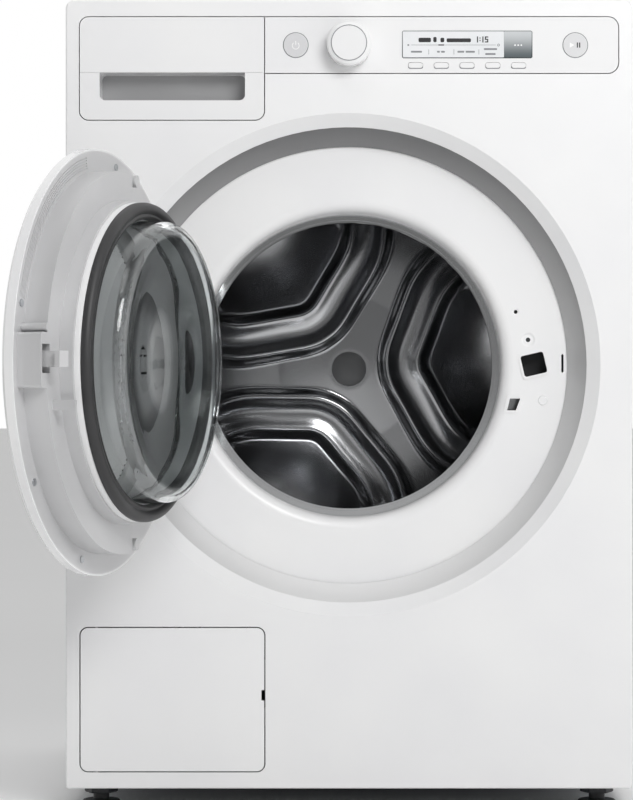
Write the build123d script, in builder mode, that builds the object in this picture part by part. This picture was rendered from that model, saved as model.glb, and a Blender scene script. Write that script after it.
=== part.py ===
from build123d import *
from math import atan2, cos, degrees, hypot, radians, sin, sqrt
import os

os.makedirs("parts", exist_ok=True)

# A front load washing machine with its door standing open. Millimetres, +X to the user's right,
# +Y to the back, +Z up. The origin is on the floor, under the middle of the cabinet.

# ---- cabinet ----
cabinet_width = 595.0
cabinet_depth = 585.0
cabinet_height = 850.0  # floor to top face
foot_height = 23.0  # floor to the underside of the cabinet
sheet = 1.2  # steel sheet
top_radius = 8.0  # rolled side edges of the top
base_radius = 3.0  # lower corners of the front panel
edge_radius = 2.0  # folded edges of the front panel
front_fold = 22.5  # how far the front panel folds back
lid_edge = 3.5  # height of the top panel seen from the front
lid_sheet = 1.5
flange_width = 15.0  # inward flange under the top panel
cover_step = 2.0  # depth set aside for the rear cover
tray_sheet = 2.0
tray_rise = 22.0

# ---- feet ----
foot_inset_x = 33.5  # cabinet side to foot axis
foot_inset_y = 47.0  # cabinet front or back to foot axis
foot_pad_radius = 20.0
foot_pad_height = 6.0
foot_neck_radius = 8.5
foot_stem_radius = 5.0
foot_stem_top = 50.0
thread_clearance = 0.05
nut_height = 9.5
nut_flats = 30.8
nut_gap = 0.3
nut_chamfer = 1.2

# ---- drum and tub ----
drum_height = 468.0  # floor to the drum's axis
drum_radius = 244.0
drum_wall = 1.0
drum_front = 82.0  # depths are measured back from the cabinet's front
drum_back_depth = 417.0
drum_back_wall = 1.5
mouth_radius = 157.0
mouth_bead = 3.0
tub_radius = 254.5
tub_wall = 1.5
tub_flange_radius = 259.0
tub_front_depth = 69.0
tub_front_wall = 3.0
tub_back_gap = 11.5
tub_back_wall = 2.0
shaft_radius = 15.0
shaft_gap = 0.05
bearing_radius = 31.0
bearing_width = 16.0
hub_radius = 45.0
hub_length = 65.0
pulley_radius = 140.0
pulley_width = 12.0
pulley_gap = 17.0
belt_thickness = 3.0
belt_gap = 0.3

# ---- porthole ----
porthole_radius = 264.2
bevel_radius = 250.3
bevel_depth = 10.0
bevel_seat = 3.7
ring_radius = 232.0
ring_depth = 38.0
ring_wall = 2.5
ring_flange_radius = 262.0
plate_radius = 245.0
plate_gap = 1.5
plate_wall = 2.0
throat_radius = 175.0
lip_radius = 162.0
lip_inner_radius = 153.5
lip_front_depth = 67.0
lip_length = 8.0

# ---- door ----
door_open_angle = 108.0
hinge_offset = 188.0  # drum axis to hinge pin
hinge_depth = 11.0
hinge_pin_radius = 2.5
hinge_knuckle_radius = 5.0
hinge_arm_length = 79.0
hinge_lug_height = 6.0
hinge_gap = 0.5
hinge_notch = 124.0
pin_clearance = 0.05
door_radius = 211.0
door_rim_depth = 12.5  # back of the door's rim
door_wall = 3.0
door_dome = 9.5
window_radius = 150.0
window_rise = 4.5
glass_wall = 4.0
frame_radius = 189.0
frame_depth = 36.5
frame_end = -21.0  # the raised frame stops short of the hinge side
collar_radius = 160.0
collar_depth = 50.5
seal_inner_radius = 140.3
seal_outer_radius = 157.4
seal_depth = 66.0
bowl_radius = 140.0
bowl_depth = 96.0

# ---- latch ----
hook_length = 60.0
hook_thickness = 7.0
hook_height = 15.0

# ---- controls ----
fascia_left = -88.1
fascia_right = 282.7
fascia_bottom = 774.3
fascia_top = 833.0
fascia_radius = 11.0
fascia_depth = 12.5
fascia_wall = 2.5
panel_gap = 1.0
pocket_depth = 14.0
pocket_lip = 5.0
button_gap = 0.4
button_proud = 0.7
button_length = 9.0
button_flange = 1.5
button_flange_thickness = 1.5
control_row = 803.5  # height of knob and round buttons
round_button_radius = 12.6
power_x = -55.9
start_x = 237.5
knob_radius = 23.3
knob_face_radius = 18.0
knob_proud = 22.0
knob_stem_radius = 8.0
display_left = 55.6
display_right = 192.6
display_bottom = 789.7
display_top = 818.8
display_radius = 2.0
display_wall = 3.0
soft_key_row = 782.3
soft_key_first = 69.9
soft_key_pitch = 27.03
soft_key_count = 5
soft_key_width = 15.3
soft_key_height = 5.6

# ---- detergent drawer ----
drawer_left = -282.6
drawer_right = -89.1
drawer_bottom = 725.2
drawer_radius = 9.5
drawer_depth = 34.0
drawer_wall = 2.5
drawer_seam = 774.8
seam_width = 0.6
seam_depth = 0.8
grip_left = -261.8
grip_right = -109.2
grip_bottom = 745.6
grip_depth = 28.0
grip_radius = 6.0
tray_length = 198.0
tray_wall = 2.0
tray_inset = 6.0
tray_height = 60.0
housing_wall = 2.0
housing_length = 226.0
rail_gap = 0.3

# ---- service flap ----
flap_left = -281.8
flap_right = -88.9
flap_bottom = 41.2
flap_top = 191.7
flap_radius = 8.0
flap_gap = 1.2
flap_wall = 2.5
flap_knuckle = 3.5
flap_pin_inset = 16.8  # left edge to the hinge pins
flap_pin_radius = 1.5
flap_pin_reach = 4.0
flap_lug = 6.0
flap_lug_depth = 7.0

# ---- suspension ----
damper_x = 190.0
damper_front_y = -150.0
damper_back_y = 100.0
damper_radius = 16.0
damper_bore = 12.0
damper_top = 160.0
damper_rod_radius = 6.0
damper_clearance = 0.3
spring_wire = 2.0
spring_radius = 13.0
spring_turns = 8
seat_height = 265.0
seat_radius = 20.0
seat_thickness = 3.0

# ---- motor ----
motor_x = 60.0
motor_height = 135.0
motor_radius = 60.0
motor_front_y = 60.0
motor_length = 155.0
motor_wall = 6.0
rotor_radius = 38.0
rotor_gap = 2.0
rotor_shaft_radius = 7.0
motor_pulley_radius = 11.0

# ---- pump and hoses ----
filter_x = -185.0
filter_height = 108.0
filter_radius = 38.0
filter_front_depth = 34.0
pump_length = 62.0
sump_x = -90.0
sump_y = -190.0
sump_pipe_radius = 18.0
hose_wall = 2.7
hose_gap = 0.3
feed_x = -190.0
feed_y = -70.0
feed_pipe_radius = 14.0
drain_pipe_radius = 10.5

# ---- rear ----
cover_width = 430.0
cover_bottom = 130.0
cover_top = 745.0
cover_overlap = 12.0
cover_sheet = 1.2
inlet_x = 225.0
inlet_height = 800.0
inlet_thread_radius = 13.2
inlet_reach = 14.0
outlet_x = -236.0
outlet_height = 92.0
gland_x = -225.0
gland_height = 800.0
gland_radius = 10.0
cord_radius = 4.5
screw_radius = 2.0
screw_clearance = 0.1
screw_head_radius = 4.5
screw_head_height = 2.4
screw_length = 8.0

# ---- worked out from the sizes above ----
half_width = cabinet_width / 2
inner_half_width = half_width - sheet
front_y = -cabinet_depth / 2
back_y = cabinet_depth / 2
fold_y = front_y + front_fold
wall_y = back_y - cover_step  # outside of the rear wall
side_top = cabinet_height - top_radius
panel_top = cabinet_height - lid_edge
foot_x = half_width - foot_inset_x
foot_y = -front_y - foot_inset_y
plate_depth = ring_depth + plate_gap
plate_back_depth = plate_depth + plate_wall
tub_shell_depth = tub_front_depth + tub_front_wall
drum_end_depth = drum_back_depth + drum_back_wall
tub_end_depth = drum_end_depth + tub_back_gap
bearing_end_depth = tub_end_depth + hub_length
pulley_depth = bearing_end_depth + pulley_gap
pulley_end_depth = pulley_depth + pulley_width
far = 2 * cabinet_height

hinge_x = -hinge_offset
hinge_y = front_y + hinge_depth
swing = radians(door_open_angle)

# The machine's own section: local x is the distance from the drum's axis, local y the depth.
drum_section = Plane(origin=(0, front_y, drum_height), x_dir=(1, 0, 0), z_dir=(0, 0, 1))
# The same section carried round the hinge with the open door.
door_origin = (
    hinge_x + hinge_offset * cos(swing) - hinge_depth * sin(swing),
    hinge_y - hinge_offset * sin(swing) - hinge_depth * cos(swing),
    drum_height,
)
door_section = Plane(origin=door_origin, x_dir=(cos(swing), -sin(swing), 0), z_dir=(0, 0, 1))


def axis_of(section):
    return Axis(section.origin, section.y_dir)


def face_at(section, depth):
    # A plane across the section's axis that faces the user, with local y up.
    return Plane(section.origin + section.y_dir * depth, x_dir=section.x_dir, z_dir=-section.y_dir)


def front_plane(depth=0.0):
    # A plane that faces the user, at this depth behind the cabinet's front; local y is the height.
    return Plane.XZ.offset(-(front_y + depth))


def outline(*points):
    Polygon(*points, align=None)


def panel(left, right, bottom, top, radius=0.0, mode=Mode.ADD):
    with Locations(((left + right) / 2, (bottom + top) / 2)):
        if radius > 0:
            RectangleRounded(right - left, top - bottom, radius, mode=mode)
        else:
            Rectangle(right - left, top - bottom, mode=mode)


def finish(piece, name):
    piece.part.label = name
    export_step(piece.part, f"parts/{name}.step")


# ---------------------------------------------------------------- cabinet

foot_places = {
    "foot_front_left": (-foot_x, -foot_y),
    "foot_front_right": (foot_x, -foot_y),
    "foot_rear_left": (-foot_x, foot_y),
    "foot_rear_right": (foot_x, foot_y),
}
damper_places = [
    (side * damper_x, place_y) for side in (-1, 1) for place_y in (damper_front_y, damper_back_y)
]
tray_back_y = wall_y - sheet

with BuildPart() as base_tray:
    with BuildSketch(Plane.XY.offset(foot_height)):
        panel(-inner_half_width, inner_half_width, fold_y, tray_back_y)
    extrude(amount=tray_rise)
    with BuildSketch(Plane.XY.offset(foot_height + tray_sheet)):
        tray_inner = inner_half_width - tray_sheet
        panel(-tray_inner, tray_inner, fold_y + tray_sheet, tray_back_y - tray_sheet)
    extrude(amount=tray_rise, mode=Mode.SUBTRACT)
    with BuildSketch(Plane.XY.offset(foot_height)):
        with Locations(*foot_places.values()):
            Circle(foot_stem_radius + thread_clearance)
    extrude(amount=tray_sheet, mode=Mode.SUBTRACT)
finish(base_tray, "base_tray")

with BuildPart() as foot_locknuts:
    with BuildSketch(Plane.XY.offset(foot_height - nut_height)):
        with Locations(*foot_places.values()):
            RegularPolygon(nut_flats / 2, 6, major_radius=False)
            Circle(foot_stem_radius + thread_clearance, mode=Mode.SUBTRACT)
    extrude(amount=nut_height)
    chamfer(foot_locknuts.edges().filter_by(GeomType.LINE).group_by(Axis.Z)[0], nut_chamfer)
finish(foot_locknuts, "foot_locknuts")

for name, place in foot_places.items():
    with BuildPart() as foot:
        with BuildSketch():
            with Locations(place):
                Circle(foot_pad_radius)
        extrude(amount=foot_pad_height)
        fillet(foot.edges().group_by(Axis.Z)[-1], foot_pad_height / 3)
        with BuildSketch(Plane.XY.offset(foot_pad_height)):
            with Locations(place):
                Circle(foot_neck_radius)
        extrude(amount=foot_height - nut_height - nut_gap - foot_pad_height)
        with BuildSketch(Plane.XY.offset(foot_pad_height)):
            with Locations(place):
                Circle(foot_stem_radius)
        extrude(amount=foot_stem_top - foot_pad_height)
    finish(foot, name)

cover_screws = [
    (side * (cover_width - cover_overlap) / 2, height)
    for side in (-1, 1)
    for height in (
        cover_bottom + cover_overlap,
        (2 * cover_bottom + cover_top) / 3,
        (cover_bottom + 2 * cover_top) / 3,
        cover_top - cover_overlap,
    )
]
lid_tab_width = 30.0
lid_tab_drop = 20.0
lid_tabs = [(side * cover_width / 2, side_top - lid_tab_drop / 2) for side in (-1, 1)]
screw_places = cover_screws + lid_tabs

with BuildPart() as cabinet_wrapper:
    with BuildSketch(Plane.XY.offset(foot_height)):
        panel(-half_width, half_width, fold_y, wall_y)
    extrude(amount=side_top - foot_height)
    rear_corners = cabinet_wrapper.edges().filter_by(Axis.Z).group_by(Axis.Y)[-1]
    fillet(rear_corners, edge_radius)
    with BuildSketch(Plane.XY.offset(foot_height)):
        panel(-inner_half_width, inner_half_width, fold_y, wall_y - sheet)
    extrude(amount=side_top - sheet - foot_height, mode=Mode.SUBTRACT)
    with BuildSketch(Plane.XY.offset(side_top - sheet)):
        flange_half = inner_half_width - flange_width
        panel(-flange_half, flange_half, fold_y, wall_y - sheet - flange_width)
    extrude(amount=sheet, mode=Mode.SUBTRACT)
    with BuildSketch(Plane.XZ.offset(-wall_y)):
        cover_half = cover_width / 2 - 2 * cover_overlap
        panel(-cover_half, cover_half, cover_bottom + 2 * cover_overlap,
              cover_top - 2 * cover_overlap, flange_width)
        with Locations(*screw_places):
            Circle(screw_radius + screw_clearance)
        with Locations((inlet_x, inlet_height)):
            Circle(inlet_thread_radius)
        with Locations((outlet_x, outlet_height)):
            Circle(drain_pipe_radius)
        with Locations((gland_x, gland_height)):
            Circle(gland_radius)
    extrude(amount=sheet, mode=Mode.SUBTRACT)
finish(cabinet_wrapper, "cabinet_wrapper")

rib_heights = [cover_bottom + share * (cover_top - cover_bottom) / 4 for share in (1, 2, 3)]
rib_height = 60.0
rib_margin = 45.0

with BuildPart() as back_panel:
    with BuildSketch(Plane.XZ.offset(-wall_y)):
        panel(-cover_width / 2, cover_width / 2, cover_bottom, cover_top, flange_width)
        with Locations(*cover_screws):
            Circle(screw_radius + screw_clearance, mode=Mode.SUBTRACT)
    extrude(amount=-cover_sheet)
    for height in rib_heights:
        with BuildSketch(Plane.XZ.offset(-wall_y - cover_sheet)):
            panel(-cover_width / 2 + rib_margin, cover_width / 2 - rib_margin,
                  height - rib_height / 2, height + rib_height / 2, flange_width)
        extrude(amount=-(cover_step - cover_sheet))
finish(back_panel, "back_panel")


def lid_outline(inset):
    # The top panel's cross-section: flat on top with rolled sides, open below.
    with BuildSketch() as shape:
        with BuildLine():
            right = JernArc((half_width - inset, side_top), (0, 1), top_radius - inset, 90)
            top = Line(right @ 1, (-(right @ 1).X, (right @ 1).Y))
            left = JernArc(top @ 1, (-1, 0), top_radius - inset, 90)
            Line(left @ 1, right @ 0)
        make_face()
    add(shape.sketch)


with BuildPart() as top_panel:
    with BuildSketch(front_plane()):
        lid_outline(0)
    extrude(amount=-cabinet_depth)
    with BuildSketch(front_plane(lid_sheet)):
        lid_outline(lid_sheet)
    extrude(amount=-(cabinet_depth - 2 * lid_sheet), mode=Mode.SUBTRACT)
    with BuildSketch(front_plane()):
        panel(-half_width, half_width, side_top, panel_top)
    extrude(amount=-front_fold, mode=Mode.SUBTRACT)
    with BuildSketch(Plane.XZ.offset(-wall_y)):
        with Locations(*lid_tabs):
            Rectangle(lid_tab_width, lid_tab_drop)
            Circle(screw_radius + screw_clearance, mode=Mode.SUBTRACT)
    extrude(amount=-lid_sheet)
finish(top_panel, "top_panel")

with BuildPart() as cabinet_screws:
    with BuildSketch(Plane.XZ.offset(-wall_y - cover_sheet)):
        with Locations(*cover_screws):
            Circle(screw_head_radius)
    extrude(amount=-screw_head_height)
    with BuildSketch(Plane.XZ.offset(-wall_y - lid_sheet)):
        with Locations(*lid_tabs):
            Circle(screw_head_radius)
    extrude(amount=-screw_head_height)
    with BuildSketch(Plane.XZ.offset(-wall_y - cover_sheet)):
        with Locations(*screw_places):
            Circle(screw_radius)
    extrude(amount=screw_length)
    with BuildSketch(Plane.XZ.offset(-wall_y - lid_sheet)):
        with Locations(*lid_tabs):
            Circle(screw_radius)
    extrude(amount=lid_sheet - cover_sheet)
finish(cabinet_screws, "cabinet_screws")


def panel_outline(inset):
    # The front panel's outline: it follows the top panel's rolled sides and stops under its edge.
    low = foot_height + inset
    side = half_width - inset
    with BuildSketch() as shape:
        with BuildLine():
            right = JernArc((side, side_top), (0, 1), top_radius - inset, 90)
            top = Line(right @ 1, (-(right @ 1).X, (right @ 1).Y))
            left = JernArc(top @ 1, (-1, 0), top_radius - inset, 90)
            FilletPolyline(left @ 1, (-side, low), (side, low), right @ 0, radius=base_radius)
        make_face()
        with Locations((0, panel_top - inset + top_radius)):
            Rectangle(cabinet_width, 2 * top_radius, mode=Mode.SUBTRACT)
    add(shape.sketch)


def control_outline(grow):
    # Fascia and drawer front together.
    panel(fascia_left - 2 * fascia_radius, fascia_right + grow, fascia_bottom - grow, fascia_top + grow,
          fascia_radius + grow)
    panel(drawer_left - grow, drawer_right + grow, drawer_bottom - grow, fascia_top + grow,
          drawer_radius + grow)


flap_pin_x = flap_left + flap_pin_inset
flap_pin_y = front_y + flap_knuckle
flap_lug_levels = (flap_bottom - flap_gap - flap_lug, flap_top + flap_gap)

with BuildPart() as front_panel:
    with BuildSketch(front_plane()):
        panel_outline(0)
    extrude(amount=-front_fold)
    rim = front_panel.faces().sort_by(Axis.Y)[0].edges().sort_by(Axis.Z)[:-1]
    fillet(rim, edge_radius)
    with BuildSketch(front_plane(sheet)):
        panel_outline(sheet)
    extrude(amount=-front_fold, mode=Mode.SUBTRACT)
    # pocket walls round the controls
    with BuildSketch(front_plane(sheet / 2)):
        control_outline(panel_gap + sheet)
    extrude(amount=-(pocket_depth - sheet / 2))
    with BuildSketch(front_plane()):
        control_outline(panel_gap)
    extrude(amount=-pocket_depth, mode=Mode.SUBTRACT)
    # the lip that carries the fascia
    with BuildSketch(front_plane(fascia_depth)):
        panel(fascia_left + panel_gap, fascia_right + panel_gap, fascia_bottom - panel_gap,
              fascia_top + panel_gap, fascia_radius)
        panel(fascia_left + pocket_lip, fascia_right - pocket_lip, fascia_bottom + pocket_lip,
              fascia_top - pocket_lip)
    # porthole, with its bevelled lip
    with BuildSketch(front_plane()):
        with Locations((0, drum_height)):
            Circle(porthole_radius)
        panel(flap_left - flap_gap, flap_right + flap_gap, flap_bottom - flap_gap, flap_top + flap_gap,
              flap_radius + flap_gap)
    extrude(amount=-sheet, mode=Mode.SUBTRACT)
    with BuildSketch(drum_section):
        outline((porthole_radius, 0), (bevel_radius, bevel_depth), (bevel_radius, bevel_depth + sheet),
                (bevel_radius + bevel_seat, bevel_depth + sheet), (porthole_radius + sheet, sheet),
                (porthole_radius + sheet, sheet / 2))
    revolve(axis=axis_of(drum_section))
    # lugs for the flap's pins
    for level in flap_lug_levels:
        with BuildSketch(Plane.XY.offset(level)):
            with Locations((flap_pin_x, front_y + (sheet + flap_lug_depth) / 2)):
                Rectangle(2 * flap_knuckle, flap_lug_depth - sheet)
            with Locations((flap_pin_x, flap_pin_y)):
                Circle(flap_pin_radius + pin_clearance, mode=Mode.SUBTRACT)
        extrude(amount=flap_lug)
finish(front_panel, "front_panel")

with BuildPart() as porthole_ring:
    flange_depth = bevel_depth + sheet
    with BuildSketch(drum_section):
        outline((bevel_radius, flange_depth), (ring_radius, ring_depth),
                (ring_radius + ring_wall, ring_depth),
                (bevel_radius + ring_wall, flange_depth + ring_wall),
                (ring_flange_radius, flange_depth + ring_wall), (ring_flange_radius, flange_depth))
    revolve(axis=axis_of(drum_section))
finish(porthole_ring, "porthole_ring")

# ---------------------------------------------------------------- controls

round_buttons = {"power_button": power_x, "start_button": start_x}
soft_key_x = [soft_key_first + number * soft_key_pitch for number in range(soft_key_count)]
board_gap = 8.0
board_depth = fascia_depth + board_gap
board_wall = 1.6
board_left = -20.0

with BuildPart() as control_fascia:
    with BuildSketch(front_plane()):
        panel(fascia_left, fascia_right, fascia_bottom, fascia_top, fascia_radius)
        panel(fascia_left, fascia_left + 2 * fascia_radius, fascia_bottom, fascia_top)
    extrude(amount=-fascia_depth)
    with BuildSketch(front_plane(fascia_wall)):
        panel(fascia_left + fascia_wall, fascia_right - fascia_wall, fascia_bottom + fascia_wall,
              fascia_top - fascia_wall, fascia_radius - fascia_wall)
    extrude(amount=-fascia_depth, mode=Mode.SUBTRACT)
    with BuildSketch(front_plane()):
        with Locations(*[(x, control_row) for x in round_buttons.values()]):
            Circle(round_button_radius + button_gap)
        with Locations((0, control_row)):
            Circle(knob_stem_radius + shaft_gap)
        with Locations(*[(x, soft_key_row) for x in soft_key_x]):
            SlotOverall(soft_key_width + 2 * button_gap, soft_key_height + 2 * button_gap)
        panel(display_left, display_right, display_bottom, display_top, display_radius)
    extrude(amount=-fascia_wall, mode=Mode.SUBTRACT)
finish(control_fascia, "control_fascia")

with BuildPart() as display_module:
    with BuildSketch(front_plane()):
        panel(display_left, display_right, display_bottom, display_top, display_radius)
    extrude(amount=-display_wall)
    with BuildSketch(front_plane(display_wall)):
        panel(display_left + display_radius, display_right - display_radius,
              display_bottom + display_radius, display_top - display_radius)
    extrude(amount=-(board_depth - display_wall))
    with BuildSketch(front_plane(board_depth)):
        panel(board_left, fascia_right - 2 * pocket_lip, fascia_bottom + 2 * pocket_lip,
              fascia_top - 2 * pocket_lip)
    extrude(amount=-board_wall)
finish(display_module, "display_module")

for name, x in round_buttons.items():
    with BuildPart() as button:
        with BuildSketch(front_plane(-button_proud)):
            with Locations((x, control_row)):
                Circle(round_button_radius)
        extrude(amount=-(button_length + button_proud))
        chamfer(button.edges().group_by(Axis.Y)[0], button_proud / 2)
        with BuildSketch(front_plane(fascia_wall + button_gap)):
            with Locations((x, control_row)):
                Circle(round_button_radius + button_gap + button_flange)
        extrude(amount=-button_flange_thickness)
    finish(button, name)

for number, x in enumerate(soft_key_x):
    with BuildPart() as soft_key:
        with BuildSketch(front_plane(-button_proud)):
            with Locations((x, soft_key_row)):
                SlotOverall(soft_key_width, soft_key_height)
        extrude(amount=-(button_length + button_proud))
        chamfer(soft_key.edges().group_by(Axis.Y)[0], button_proud / 2)
        with BuildSketch(front_plane(fascia_wall + button_gap)):
            with Locations((x, soft_key_row)):
                SlotOverall(soft_key_width + 2 * button_flange, soft_key_height + 2 * button_flange)
        extrude(amount=-button_flange_thickness)
    finish(soft_key, f"soft_key_{number + 1}")

knob_gap = 0.6
knob_bevel = 1.6
knob_stem_end = 11.0
knob_clip_radius = 11.0
knob_section = Plane(origin=(0, front_y, control_row), x_dir=(1, 0, 0), z_dir=(0, 0, 1))

with BuildPart() as selector_knob:
    with BuildSketch(knob_section):
        outline((0, -knob_proud), (knob_face_radius, -knob_proud),
                (knob_radius - knob_bevel, -knob_proud + knob_bevel),
                (knob_radius, -knob_proud + 2 * knob_bevel), (knob_radius, -knob_gap),
                (knob_stem_radius, -knob_gap), (knob_stem_radius, knob_stem_end), (0, knob_stem_end))
    revolve(axis=axis_of(knob_section))
    with BuildSketch(knob_section):
        outline((0, fascia_wall + button_gap), (knob_clip_radius, fascia_wall + button_gap),
                (knob_clip_radius, fascia_wall + 2 * knob_bevel), (0, fascia_wall + 2 * knob_bevel))
    revolve(axis=axis_of(knob_section))
    # a pointer line cut in the face
    with BuildSketch(front_plane(-knob_proud)):
        with Locations((0, control_row + (knob_face_radius + knob_radius / 2) / 2)):
            SlotOverall(knob_face_radius - knob_radius / 2, knob_bevel, rotation=90)
    extrude(amount=-knob_gap, mode=Mode.SUBTRACT)
finish(selector_knob, "selector_knob")

# ---------------------------------------------------------------- detergent drawer

housing_left = drawer_left - panel_gap
housing_right = drawer_right + panel_gap
housing_bottom = drawer_bottom - panel_gap
housing_top = fascia_top + panel_gap
tray_left = drawer_left + tray_inset
tray_right = drawer_right - tray_inset
tray_bottom = drawer_bottom + panel_gap + tray_wall
tray_top = tray_bottom + tray_height

with BuildPart() as drawer_front:
    with BuildSketch(front_plane()):
        panel(drawer_left, drawer_right, drawer_bottom, fascia_top, drawer_radius)
        panel(drawer_right - 2 * drawer_radius, drawer_right, fascia_top - 2 * drawer_radius, fascia_top)
    extrude(amount=-drawer_depth)
    with BuildSketch(front_plane(drawer_wall)):
        panel(drawer_left + drawer_wall, drawer_right - drawer_wall, drawer_bottom + drawer_wall,
              fascia_top - drawer_wall, drawer_radius - drawer_wall)
    extrude(amount=-drawer_depth, mode=Mode.SUBTRACT)
    with BuildSketch(front_plane(drawer_wall / 2)):
        panel(grip_left - drawer_wall, grip_right + drawer_wall, grip_bottom - drawer_wall,
              drawer_seam + drawer_wall, grip_radius + drawer_wall)
    extrude(amount=-(grip_depth + drawer_wall / 2))
    with BuildSketch(front_plane()):
        panel(grip_left, grip_right, grip_bottom, drawer_seam, grip_radius)
        panel(grip_left, grip_right, drawer_seam - 2 * grip_radius, drawer_seam)
    extrude(amount=-grip_depth, mode=Mode.SUBTRACT)
    with BuildSketch(front_plane()):
        panel(drawer_left, drawer_right, drawer_seam - seam_width / 2, drawer_seam + seam_width / 2)
    extrude(amount=-seam_depth, mode=Mode.SUBTRACT)
finish(drawer_front, "drawer_front")

divider_shares = (0.25, 0.6)
tray_dividers = [tray_left + share * (tray_right - tray_left) for share in divider_shares]

with BuildPart() as drawer_tray:
    with BuildSketch(front_plane(drawer_depth)):
        panel(drawer_left + panel_gap, drawer_right - panel_gap, drawer_bottom + panel_gap,
              tray_top + tray_inset, drawer_radius)
    extrude(amount=-tray_wall)
    with BuildSketch(front_plane(drawer_depth)):
        panel(tray_left, tray_right, tray_bottom, tray_top, tray_inset)
        panel(tray_left, tray_right, tray_bottom + tray_inset, tray_top)
    extrude(amount=-tray_length)
    with BuildSketch(front_plane(drawer_depth + tray_wall)):
        for left, right in zip([tray_left, *tray_dividers], [*tray_dividers, tray_right]):
            panel(left + tray_wall, right - tray_wall / 2, tray_bottom + tray_wall, far)
    extrude(amount=-(tray_length - 2 * tray_wall), mode=Mode.SUBTRACT)
finish(drawer_tray, "drawer_tray")

with BuildPart() as dispenser_housing:
    with BuildSketch(front_plane(pocket_depth)):
        panel(housing_left - housing_wall, housing_right + housing_wall,
              housing_bottom - housing_wall, housing_top + housing_wall, 2 * housing_wall)
    extrude(amount=-housing_length)
    with BuildSketch(front_plane(pocket_depth)):
        panel(housing_left, housing_right, housing_bottom, housing_top, housing_wall)
    extrude(amount=-(housing_length - housing_wall), mode=Mode.SUBTRACT)
    # two rails under the tray
    with BuildSketch(front_plane(drawer_depth + tray_wall + panel_gap)):
        for rail_x in (tray_left + 2 * tray_inset, tray_right - 2 * tray_inset):
            panel(rail_x - tray_wall, rail_x + tray_wall, housing_bottom - housing_wall / 2,
                  tray_bottom - rail_gap)
    extrude(amount=-(tray_length - tray_inset))
    # outlet to the tub and inlet from the valve
    with BuildSketch(Plane.XY.offset(housing_bottom)):
        with Locations((feed_x, feed_y)):
            Circle(feed_pipe_radius)
    extrude(amount=-(housing_wall + 2 * feed_pipe_radius))
    with BuildSketch(Plane.XY.offset(housing_bottom)):
        with Locations((feed_x, feed_y)):
            Circle(feed_pipe_radius - housing_wall)
    extrude(amount=-(housing_wall + 2 * feed_pipe_radius), mode=Mode.SUBTRACT)
finish(dispenser_housing, "dispenser_housing")

# ---------------------------------------------------------------- service flap

notch_width = 3.0
notch_height = 11.0
notch_level = 121.0

with BuildPart() as service_flap:
    with BuildSketch(front_plane()):
        panel(flap_left, flap_right, flap_bottom, flap_top, flap_radius)
    extrude(amount=-flap_wall)
    with BuildSketch(front_plane()):
        panel(flap_right - notch_width, flap_right, notch_level - notch_height / 2,
              notch_level + notch_height / 2)
    extrude(amount=-flap_wall, mode=Mode.SUBTRACT)
    with BuildSketch(Plane.XY.offset(flap_bottom + flap_radius)):
        with Locations((flap_pin_x, flap_pin_y)):
            Circle(flap_knuckle)
    extrude(amount=flap_top - flap_bottom - 2 * flap_radius)
    with BuildSketch(Plane.XY.offset(flap_bottom - flap_pin_reach)):
        with Locations((flap_pin_x, flap_pin_y)):
            Circle(flap_pin_radius)
    extrude(amount=flap_top - flap_bottom + 2 * flap_pin_reach)
finish(service_flap, "service_flap")

# ---------------------------------------------------------------- washing unit, fixed round the drum

door_lock_left = 183.0
door_lock_right = 224.0
door_lock_bottom = -30.0
door_lock_top = 48.0
door_lock_depth = 25.0
door_lock_wall = 2.0
hook_hole_width = 24.7
hook_hole_height = 22.6
hook_hole_tilt = 13.0
hook_hole_x = 196.6
hook_hole_z = 1.0
tongue_hole_x = 174.3
tongue_hole_z = -41.7
tongue_hole_width = 11.0
tongue_hole_height = 12.6
tongue_hole_shear = 2.4
neck_radius = 234.0
neck_wall = 4.0
bezel = 2.6
bezel_proud = 1.2
slot_x = 227.0
slot_z = 2.0
slot_length = 19.5
slot_width = 2.4
dish_x = 190.5
dish_z = 27.0
dish_radius = 7.4
dish_hole_radius = 2.4
dish_depth = 1.2
pip_x = 177.3
pip_z = 56.7
pip_radius = 2.0
bump_x = 206.2
bump_z = -37.5
bump_radius = 5.1
bump_proud = 1.4
bump_taper = 30
dish_taper = 60


def tongue_hole(grow):
    half = tongue_hole_width / 2 + grow
    rise = tongue_hole_height / 2 + grow
    with Locations((tongue_hole_x, tongue_hole_z)):
        Polygon((-half - tongue_hole_shear, -rise), (half - tongue_hole_shear, -rise),
                (half + tongue_hole_shear, rise), (-half + tongue_hole_shear, rise), align=None)


def hook_hole(grow):
    with Locations((hook_hole_x, hook_hole_z)):
        RectangleRounded(hook_hole_width + 2 * grow, hook_hole_height + 2 * grow, bezel + grow / 2,
                         rotation=hook_hole_tilt)


throat_bend = throat_radius - lip_radius
lip_seat = 1.5
throat_end = lip_front_depth + lip_seat

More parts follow.
